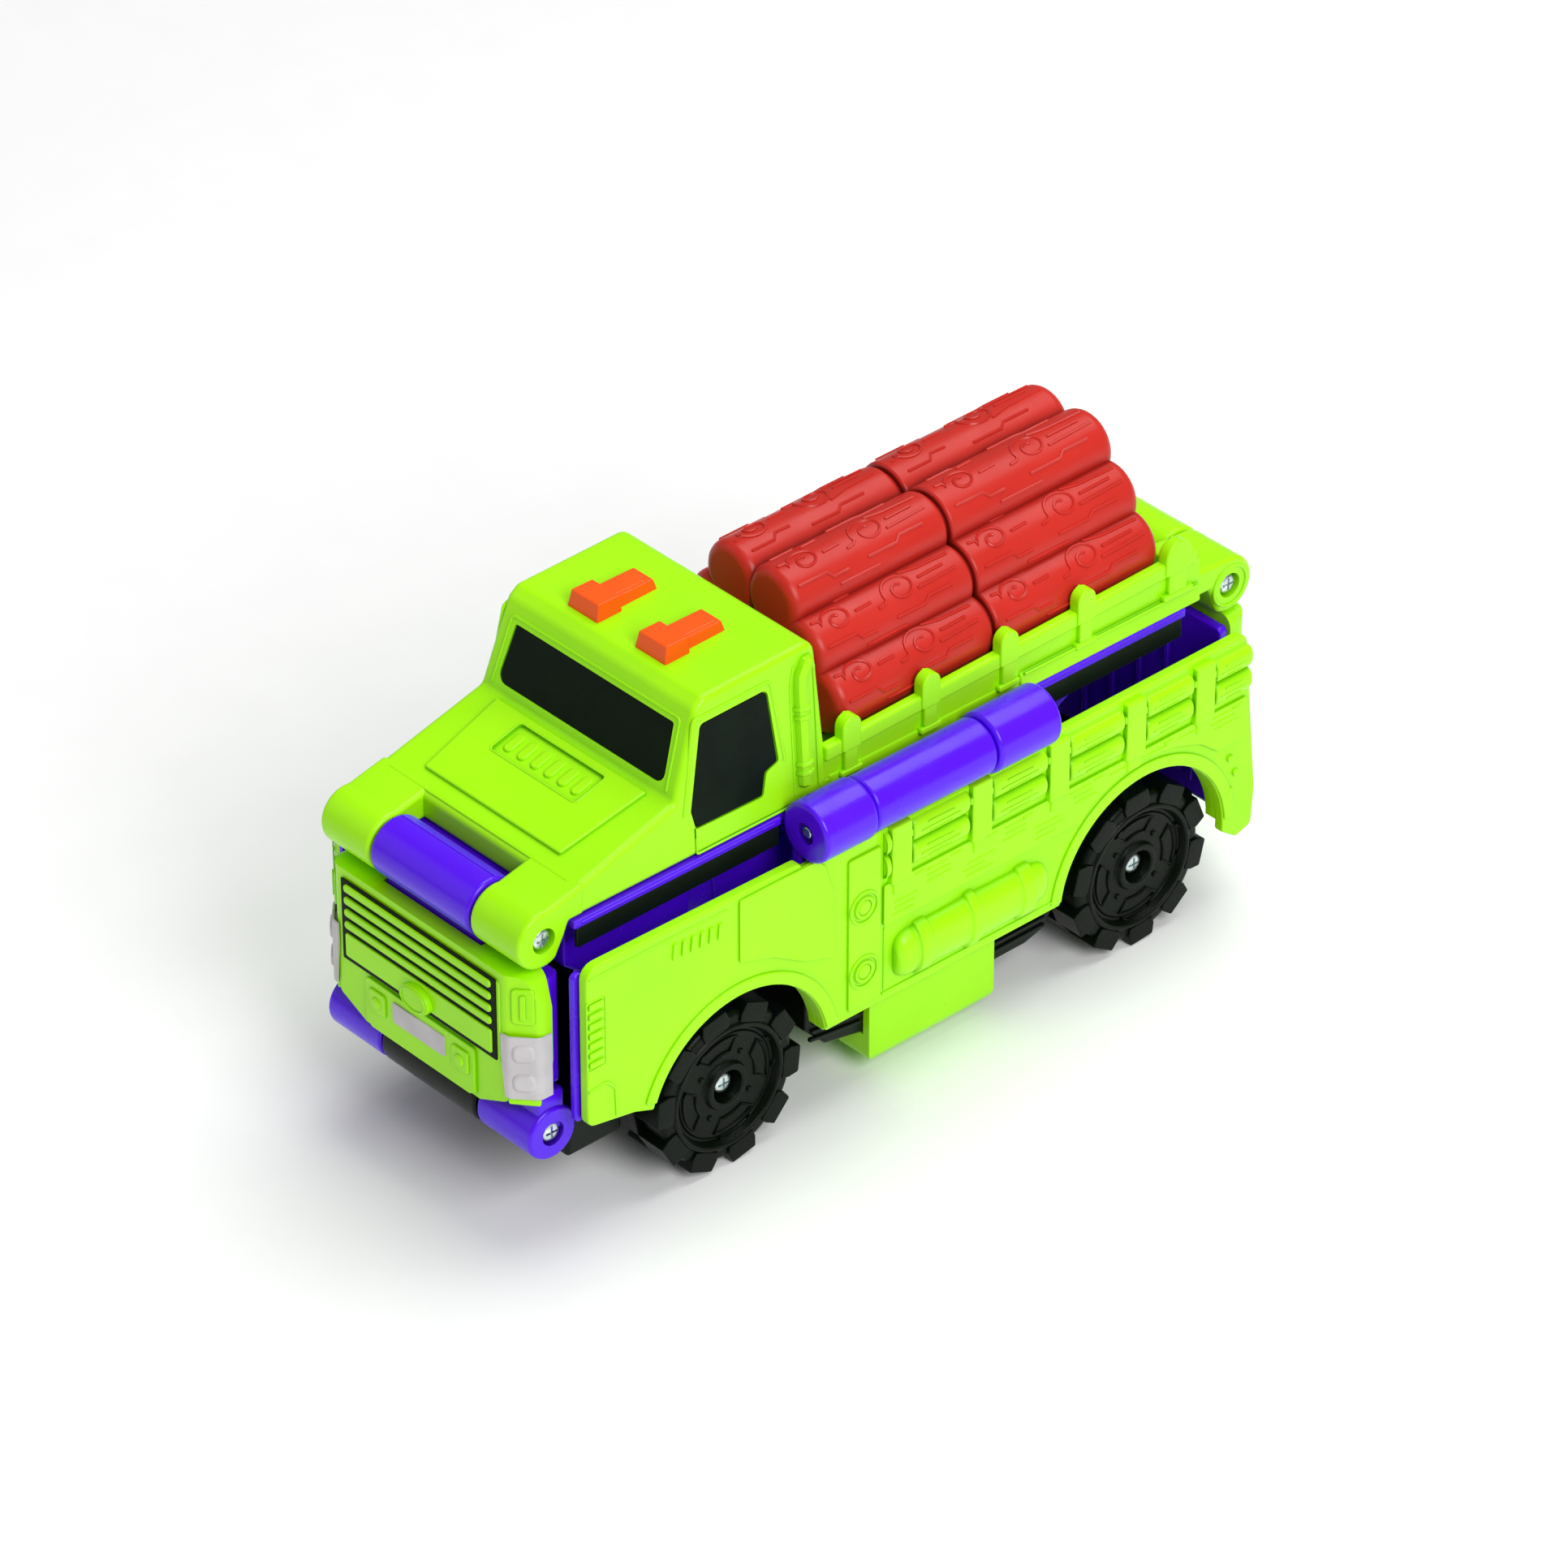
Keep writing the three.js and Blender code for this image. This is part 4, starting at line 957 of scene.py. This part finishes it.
def makeDeck():
    d = deckSizes
    plate = brick((-24.1, 24.1), (d["front"], d["rear"]), (d["low"], d["high"]), 0.3)
    strip = brick((23.4, d["half"]), (d["front"], -25.9), (d["low"], 59.6), 0.35)
    rearStrip = brick((23.4, d["half"]), (26.4, d["rear"]), (d["low"], 59.9), 0.35)
    edges = [bead([(24.98, d["front"] + 1.5, 59.0), (24.98, -27.5, 59.0)], 0.2),
             bead([(24.98, 27.5, 59.1), (24.98, d["rear"] - 1, 59.1)], 0.2)]
    # painted shade: black sheets standing in the gaps under the deck edges, where there is only shadow
    shadowSheets = [both(brick((23.9, 24.8), y, (54.3, 58.3), 0.25)) for y in ((-68.6, -26.2), (26.8, 63.2))]
    makePiece("deckShadowSheets", shadowSheets, black, "top_module")
    knuckle = barrel(d["gapFront"] + 0.3, d["gapRear"] - 0.3, 5.0, d["hingeX"], d["hingeZ"], "y", 0.7, 56)
    web = brick((23.5, 27), (d["gapFront"] + 0.4, d["gapRear"] - 0.4), (56.8, 59.3), 0.3)
    cabSide = rounded([(-46, 59), (-41, 40, 3), (-33, 35, 3), (20, 34, 3), (28, 40, 4), (44, 50, 3), (46, 59)], 5)
    cabSection = rounded([(-20.5, 59), (-17.5, 34, 4), (17.5, 34, 4), (20.5, 59)], 5)
    tub = crossed(slab(cabSide, -25, 25), slab(cabSection, -60, 60, alongY), 0.6, 3, 40)
    bonnet = rounded([(-67, 58.6), (-67, 47, 2), (-62.5, 43.5, 2), (-40.5, 41.6), (-40.5, 58.6)], 4)
    bonnet = slab(bonnet, -19.5, 19.5, alongX, 0.7)
    flank = leaning((20.5, 0, 59), (0, 1, 0), (-3, 0, -25))
    windows = ([(-36, 8), (-34, 18), (-12, 18.5), (-12, 8)], [(-9, 8), (-9, 18.5), (16, 18.5), (21, 12), (21, 8)])
    frames = [both(line(outline, 0.4, flank, 0, True, 1.5)) for outline in windows]
    ribs = row(brick((-12, 12), (-0.5, 0.5), (33.4, 34.6), 0.3), 5, (0, 4, 0), purple, place=(0, -14, 0))
    edging = both(join(strip, rearStrip, *edges, knuckle, web))
    makePiece("deckAndSecondCab", [plate, edging, tub, bonnet, *frames, ribs], purple, "top_module",
              ["second_roof"])


makeDeck()
print("deck made")


# log load
logSizes = {"radius": 6.0, "front": -10.4, "split": 23.5, "rear": 60.5, "rise": 0.014, "line": 0.3, "step": 2.5,
            "farIn": 2.2, "farDown": 0.7,  # the far side is stacked a little steeper
            "rows": ((5.0, 84.2, 78), (11.2, 77.4, 62), (16.0, 70.4, 54))}


def logHalf(start, end, radius, startSoft, endSoft):
    profile = rounded([(start, 0), (start, radius, startSoft), (end, radius, endSoft), (end, 0)], 5, False)
    return turned(profile, 0, 0, "y", 48)


def spiral(t, s, outer, inner, turns, start, steps=26):
    made = []
    for k in range(steps + 1):
        share = k / steps
        radius = outer + (inner - outer) * share
        turn = start + 2 * math.pi * turns * share
        made.append((t + 1.25 * radius * math.cos(turn), s + radius * math.sin(turn)))
    return made


def barkStrokes(length):
    # knots, dashes and grain lines of one log half, as (along, round) in millimetres
    middle = length * 0.58
    after = middle + 3.2
    return [
        [(1.6, -1.2), (3.0, -1.0)] + spiral(6.2, 0, 2.5, 0.6, 1.35, math.pi),
        [(10.0, 0.3), (13.4, 0.2)],
        [(middle - 5.4, 1.7), (middle - 4.0, 1.5)] + spiral(middle, 0.2, 2.9, 0.7, 1.4, math.pi * 0.9),
        [(after, 1.6), (length - 2.6, 1.3)],
        [(after - 1.5, -2.4), (after + 2, -1.7), (length - 2.4, -1.5)],
        [(after + 1, 0), (length - 4.5, -0.1)],
        [(2.6, -4.3), (7.4, -4.3), (8.4, -3.2), (11.4, -3.3)],
        [(length * 0.45, -4.9), (length * 0.62, -4.9), (length * 0.65, -4.0), (length * 0.8, -4.0)],
        [(2.2, 3.6), (8.2, 3.6), (9.2, 4.7), (12.4, 4.7)],
        [(length * 0.5, 4.4), (length * 0.68, 4.4), (length * 0.71, 3.5), (length * 0.86, 3.5)],
        [(length * 0.3, 6.4), (length * 0.55, 6.4)],
    ]


def barkBody(length, radius, sign):
    made = []
    for stroke in barkStrokes(length):
        fine = []
        for (t0, s0), (t1, s1) in zip(stroke, stroke[1:]):
            steps = max(1, int(math.hypot(t1 - t0, s1 - s0) / logSizes["step"]))
            fine += [(t0 + (t1 - t0) * k / steps, s0 + (s1 - s0) * k / steps) for k in range(steps)]
        fine.append(stroke[-1])
        path = [(radius * math.sin(sign * s / radius), t, radius * math.cos(s / radius)) for t, s in fine]
        made.append(bead(path, logSizes["line"], sides=6))
    return join(*made)


def makeLogs():
    g = logSizes
    front, split, rear, radius = g["front"], g["split"], g["rear"], g["radius"]
    rearRadius = radius + 0.15
    logs, bark = [], []
    solids = [logHalf(front, split - 0.25, radius, 1.9, 1.1), logHalf(split + 0.25, rear, rearRadius, 0.7, 2.1),
              rod(front + 2, rear - 2, radius - 1.1, 0, 0, 32, "y")]
    halves = [(front, split - 0.2, radius), (split + 0.2, rear, rearRadius)]
    for x, z, lean in g["rows"]:
        for sign in (1, -1):
            if sign < 0 and x > radius:
                x, z = x - g["farIn"], z - g["farDown"]
            logs += [moved(body.copy(), sign * x, 0, z) for body in solids]
            for start, end, size in halves:
                made = spun(barkBody(end - start, size, sign), sign * (90 - lean), "Y")
                bark.append(moved(made, sign * x, start, z))
    core = [(-15, 62.5), (15, 62.5), (15, 72), (9, 79), (4, 85), (-4, 85), (-9, 79), (-15, 72)]
    logs.append(slab(core, front + 2.2, rear - 2.2, alongY))
    for body in logs + bark:
        for vert in body.verts:
            vert.co.z += (vert.co.y - 25) * g["rise"]
    makePiece("logStack", logs, logRed, "top_module", ["log_load"])
    makePiece("barkLines", bark, logRed, "top_module")


makeLogs()
print("logs made")


# rear panel
rearSizes = {"back": 78.6, "front": 74.5, "half": 25.0, "low": 14.0, "top": 53.2, "slatHalf": 21.5, "slatLow": 31.4,
             "slatPitch": 4.3, "topSlat": 44.2, "stakePitch": -12.4}


def slatShape(y, half, z, radius, proud, plane):
    # a log-like slat: a half round with softened ends, lying along the plane's first direction
    profile = rounded([(y, 0), (y, radius, 0.7), (half, radius, 0.7), (half, 0)], 4, False)
    body = turned(profile, 0, 0, "x", 24)
    for vert in body.verts:
        vert.co = plane @ Vector((vert.co.x, z + vert.co.y, vert.co.z * proud / radius))
    bmesh.ops.recalc_face_normals(body, faces=body.faces)
    return body


def makeRearPanel():
    r = rearSizes
    y, z = hinges["tail"]
    plate = slab(boxOutline(-24.6, 24.6, 16, 51.5, 1), 72.4, 74.3, alongY, 0.4)
    web = slab(rounded([(72.4, 47), (76.4, 47, 1), (76.4, 58), (72.4, 58)]), -11.6, 11.6, alongX, 0.5)
    knuckle = barrel(-11.8, 11.8, hingeSizes["hood"], y, z, "x", 0.7, 56)
    ribs = row(brick((-0.5, 0.5), (71.7, 72.6), (19, 44), 0.25), 7, (6.4, 0, 0), purple, place=(-19.2, 0, 0))
    makePiece("rearLiner", [plate, web, ribs], purple, "rear_panel", ["rear_liner"])
    makePiece("rearKnuckle", [knuckle], lime, "rear_panel")

    half, front, back = r["half"], r["front"], r["back"]
    plan = rounded([(-half, front), (half, front), (half, back, 2.2), (-half, back, 2.2)], 5)
    face = boxOutline(-half, half, r["low"], r["top"], 2.2, 5)
    shell = crossed(slab(plan, 10, 60, alongZ), slab(face, 70, 85, alongY), 0.9, 3, 40)
    shell = combine(shell, [rod(-40, 40, hingeSizes["tailClear"], y, z, 72)])
    on = leaning((0, back, 0), (-1, 0, 0), (0, 0, 1))
    slatHalf = r["slatHalf"]
    slat = slatShape(-slatHalf, slatHalf, 0, 2.05, 1.1, on)
    stake = slab(boxOutline(-2, 2, 28.6, 47.6, 0.6), -0.3, 1.45, on, 0.4)
    parts = [slatShape(-slatHalf, slatHalf, r["topSlat"], 2.1, 1.1, on),
             row(slat, 3, (0, 0, r["slatPitch"]), lime, place=(0, 0, r["slatLow"])),
             row(stake, 4, (r["stakePitch"], 0, 0), lime, place=(-1.5 * r["stakePitch"], 0, 0)),
             slab(boxOutline(-23.2, 23.2, 15.6, 20.6, 1.2), -0.5, 1.5, on, 0.6),
             slab(boxOutline(-5.6, 5.6, 22.2, 26.4, 0.5), -0.3, 0.7, on, 0.25)]
    lamp = loft(boxOutline(16, 22.4, 22.0, 27.0, 1.2), boxOutline(16.5, 21.9, 22.5, 26.5, 1.0), -0.3, 1.1, on, 0.3)
    split = line([(19.2, 22.2), (19.2, 26.8)], 0.25, on, 1.1)
    parts.append(both(join(lamp, split)))
    makePiece("rearShell", [shell, *parts], lime, "rear_panel", ["rear_shell"])


makeRearPanel()
print("rear panel made")


# side panels
sideSizes = {"inner": 26.6, "liner": 28.7, "outer": 31.0, "bottom": 18.7, "frontArch": (-40.4, 16.1, 18.85),
             "rearArch": (49.4, 17.2, 18.9), "stakes": (-6.3, 11.4, 28.7, 46.1, 62.0), "slatRows": (49.8, 45.3),
             "bayEnds": (-9.6, 73.2), "stakeHalf": 2.4, "slatRadius": 2.15, "slatProud": 1.25, "groove": 0.17}
onSide = leaning((31.0, 0, 0), (0, 1, 0), (0, 0, 1))


def sideOutline():
    s = sideSizes
    points = [(-72.2, 24.6, 1.6), (-62.5, 22.8, 1.0)]
    points += arc(*s["frontArch"], 164, 8, 30)
    points += arc(*s["rearArch"], 175.5, -4, 34)
    points += [(71.6, 13.5, 1.2), (75.1, 14.7, 1.3), (75.6, 22, 0), (72.4, 54, 1.6), (27.4, 53.6, 0.4),
               (26.9, 52.6, 0.4), (-26.4, 52.6, 0.6), (-27.4, 54.3, 1.0), (-72.2, 54.9, 2.6)]
    return rounded(points, 4)


def stakeShape():
    # one stake with its strap and foot, standing at y = 0
    post = slab(boxOutline(-2.2, 2.2, 41.6, 52.8, 0.4), -0.3, 1.25, onSide, 0.35)
    strap = slab(boxOutline(-1.5, 1.5, 39.2, 44.6, 0.4), -0.3, 0.85, onSide, 0.3)
    notch = slab(boxOutline(-2.6, 2.6, 49.2, 50.6, 0.3), -0.3, 1.05, onSide, 0.25)
    return join(post, strap, notch)


def tankShape():
    profile = rounded([
        (-7.3, 0), (-7.3, 3.9, 2.4), (-4.2, 4.5, 0.6), (-3.2, 4.2, 0.3), (-2.9, 5.1, 0.4), (-0.6, 5.1, 0.4),
        (-0.2, 4.5, 0.3), (8.0, 4.7, 0.3), (8.4, 5.4, 0.4), (10.0, 5.4, 0.4), (10.4, 4.7, 0.3), (19.4, 4.5, 0.3),
        (19.8, 5.1, 0.4), (22.4, 5.1, 0.4), (22.8, 4.2, 0.3), (26.3, 3.5, 2.2), (26.3, 0)], 4, False)
    tank = turned(profile, 0, 0, "y", 40)
    for vert in tank.verts:
        vert.co = Vector((30.9 + vert.co.x * 0.6, vert.co.y, 26.5 + vert.co.z))
    bmesh.ops.recalc_face_normals(tank, faces=tank.faces)
    return tank


def sideRelief():
    s = sideSizes
    parts = []
    # arch lips
    for arch, start, end in ((s["frontArch"], 160, 10), (s["rearArch"], 173, 4)):
        y, z, radius = arch
        band = arc(y, z, radius + 0.15, start, end, 40) + arc(y, z, radius + 2.5, end, start, 40)
        parts.append(slab(band, -0.5, 0.4, onSide, 0.3))
        foot = 138 if y < 0 else start + 3  # the front one stops short of the foot that swings past the tyre
        flange = arc(y, z, radius + 0.05, foot, end - 3, 40) + arc(y, z, radius + 1.3, end - 3, foot, 40)
        parts.append(slab(flange, s["inner"] + 0.1, 30.2, alongX, 0.2))
    # door, strip with two bosses, front bumper line
    door = [(-40.5, 53.4), (-40.5, 41.5), (-33.5, 39.2), (-26.5, 35.0), (-20.0, 32.9), (-20.6, 46), (-22.2, 51.6),
            (-24, 53.4)]
    parts.append(slab(rounded([(*p, 0.5) for p in door], 3), -0.4, 0.38, onSide, 0.25))
    parts.append(slab(boxOutline(-17.2, -10.2, 20.4, 50.0, 0.5), -0.4, 0.5, onSide, 0.3))
    bossSide = rounded([(31.3, 0), (31.3, 1.5), (31.75, 1.3, 0.3), (31.8, 0)], 3, False)
    for z in (39.8, 27.2):
        for radius, tube in ((2.9, 0.3), (1.75, 0.42)):
            parts.append(bead(drawn(oval(-14.0, z, radius, radius, 36), 0.5, onSide), tube, True))
        parts.append(turned(bossSide, -14.0, z, "x", 28))
    parts.append(line([(-72.0, 31.4), (-68.4, 31.9), (-66.6, 29.8), (-66.4, 24.4)], 0.28, onSide, 0.0, corner=1.2))
    parts.append(line([(-71.6, 52.9), (-57, 53.0), (-43, 52.8)], 0.2, onSide, 0.0))
    # plank ledge over the tank, and the line along the bottom
    ledge = [(-9.6, 33.9, 0.5), (34.2, 33.9, 0.5), (37, 36.6, 1), (43, 39.1, 1), (49.4, 39.9, 1), (56, 39.1, 1),
             (62, 36.8, 1), (66, 33.6, 0.5), (73.2, 33.6, 0.4), (72.4, 41.8, 0.5), (-9.6, 41.8, 0.5)]
    parts.append(slab(rounded(ledge, 3), -0.4, 0.5, onSide, 0.3))
    parts.append(line([(-9.6, 20.4), (28.8, 20.4), (31.0, 24.8)], 0.25, onSide, 0.0, corner=0.8))
    parts.append(line([(-9.2, 33.2), (-9.2, 21.0)], 0.2, onSide, 0.0))
    parts.append(tankShape())
    # small bolts near the rear edge
    bolt = rounded([(30.8, 0), (30.8, 0.75), (31.5, 0.6, 0.25), (31.55, 0)], 3, False)
    parts += [turned(bolt, y, z, "x", 16) for y, z in ((69.2, 30.6), (70.6, 27.2), (69.4, 24.0))]
    return parts


def grainStrokes():
    # short grain lines in groups of three along the planks, and a dash above each group
    draw = random.Random(7)
    strokes = []
    for k in range(10):
        y = -8.2 + k * 8.0
        z = 35.3 if k % 2 == 0 else 38.4
        if 36 < y < 62:
            z = 40.4
        for i in range(3 if z < 40 else 1):
            start = y + draw.uniform(0, 1.6)
            strokes.append([(start, z + i * 1.15), (start + draw.uniform(4.2, 6.2), z + i * 1.15)])
        strokes.append([(y + 5.4, 41.0), (y + 7.6, 41.0)])
    return strokes


def makeSidePanels():
    s = sideSizes
    plate = slab(sideOutline(), 28.95, s["outer"], alongX, 0.85, 4)
    bays = []
    radius, proud = s["slatRadius"], s["slatProud"]
    ends = [s["bayEnds"][0], *s["stakes"], s["bayEnds"][1]]
    for i, (start, end) in enumerate(zip(ends, ends[1:])):
        left = start + (0 if i == 0 else s["stakeHalf"])
        right = end - (0 if i == len(ends) - 2 else s["stakeHalf"])
        middle, half = (left + right) / 2, (right - left) / 2
        for z in s["slatRows"]:
            bays.append(slatShape(left + 0.2, right - 0.2, z, radius, proud, onSide))
            if half <= 2.5:
                continue
            for lift, reach in ((0.9, 0.5), (-0.2, 0.72), (-1.2, 0.4)):  # grain lines on the slat
                height = proud * math.sqrt(1 - (lift / radius) ** 2)
                span = half * reach
                stroke = [(middle - span, z + lift), (middle + span * 0.8, z + lift * 0.9)]
                bays.append(line(stroke, 0.16, onSide, height))
    stakes = [moved(stakeShape(), 0, y, 0) for y in s["stakes"]]
    backing = slab([(-9.4, 42.3), (72.6, 42.3), (72.2, 52.4), (27, 52.4), (-9.4, 52.2)], -0.5, 0.05, onSide)
    grain = [line(stroke, s["groove"], onSide, 0.5) for stroke in grainStrokes()]
    # vents: a column of ribs by the front edge, and six slanted slits over the arch
    ribFrame = line([(-72.3, 35.5), (-68.5, 35.5), (-68.5, 48.6), (-72.3, 48.6)], 0.16, onSide, 0.0, True, 0.3)
    rib = slab(boxOutline(-72.0, -68.9, 0, 1.15, 0.35), -0.3, 0.45, onSide, 0.25)
    ribs = row(rib, 7, (0, 0, 1.86), lime, place=(0, 0, 36.0))
    slit = rounded([(-0.45, 0, 0.3), (0.45, 0, 0.3), (0.75, 3.0, 0.3), (-0.15, 3.0, 0.3)], 3)
    slit = slab(slit, -0.3, 0.4, onSide, 0.2)
    slits = row(slit, 6, (0, 1.9, -0.12), lime, place=(0, -54.2, 48.6))
    shells = {"sideShell": join(plate, backing, *sideRelief()), "stakesAndSlats": join(*bays, *stakes),
              "ventRibs": join(ribFrame, ribs, slits), "plankGrain": join(*grain)}
    for side in ("left", "right"):
        for name, body in shells.items():
            shape = body if side == "left" else flipped(body)
            nodes = [f"side_shell_{side}"] if name == "sideShell" else ()
            makePiece(f"{name}_{side}", [shape], lime, f"side_panel_{side}", nodes)

    # purple side: a plate with a rim, arms and the two end knuckles
    d = deckSizes
    frontArch, rearArch = s["frontArch"], s["rearArch"]
    edge = [(-73, 24.6, 1), (-59.4, 24.6, 0)]
    edge += arc(*frontArch[:2], frontArch[2] + 1.4, 155, 10, 28)
    edge += arc(*rearArch[:2], rearArch[2] + 1.4, 174, -2, 30)
    edge += [(74.6, 16.8, 0.5), (75.2, 22, 0), (72.6, 49.6, 1), (70.5, 49.6, 0), (-70.6, 49.6, 0), (-71.2, 53, 0.3),
             (-73, 53, 1)]
    liner = slab(rounded(edge, 4), s["inner"], s["liner"], alongX, 0.3)
    liner = combine(liner, [brick((26, 27.7), (-74, -71.2), (20, 54))])
    parts = [liner, brick((25.8, 28.6), (-71.5, 71.5), (45.6, 47), 0.4)]
    at = (d["hingeX"], d["hingeZ"])
    for start, end in ((d["endFront"], d["gapFront"]), (d["gapRear"], d["endRear"])):
        outer = start if start < 0 else end
        hole = rod(outer - 1, outer + 1, 1.9, *at, 24, "y")
        parts.append(combine(barrel(start, end, hingeSizes["side"], *at, "y", 0.8, 56), [hole]))
        for reach, z in ((28.6, (47, 55.5)), (31.6, (54.3, 56.5))):
            parts.append(brick((s["inner"], reach), (start + 0.2, end - 0.2), z, 0.4))
    # ribs and a bead on the plate's inner face
    rib = slab([(0, 38), (1.1, 38), (1.1, 45), (0, 45)], 26.0, 26.8, alongX, 0.25)
    longRib = slab([(-12, 0), (28, 0), (28, 0.9), (-12, 0.9)], 26.0, 26.8, alongX, 0.25)
    inside = leaning((s["inner"], 0, 0), (0, 1, 0), (0, 0, 1))
    parts += [row(rib, 12, (0, 6.2, 0), purple, place=(0, -12, 0)),
              row(longRib, 3, (0, 0, 4.2), purple, place=(0, 0, 24)),
              line([(-70, 27.5), (-70, 43.5), (-18, 43.5), (-18, 38)], 0.4, inside, 0, corner=2)]
    liners = join(*parts)
    pin = barrel(d["endFront"] + 0.3, d["endRear"] - 0.3, hingeSizes["pin"], *at, "y", 0.25, 20)
    for side, turn in (("left", join), ("right", flipped)):
        rides = f"side_panel_{side}"
        makePiece(f"sideLiner_{side}", [turn(liners)], purple, rides, [f"side_liner_{side}"])
        makePiece(f"hingePin_{side}", [turn(pin)], zinc, rides, [f"side_pin_{side}"])


makeSidePanels()
print("side panels made")
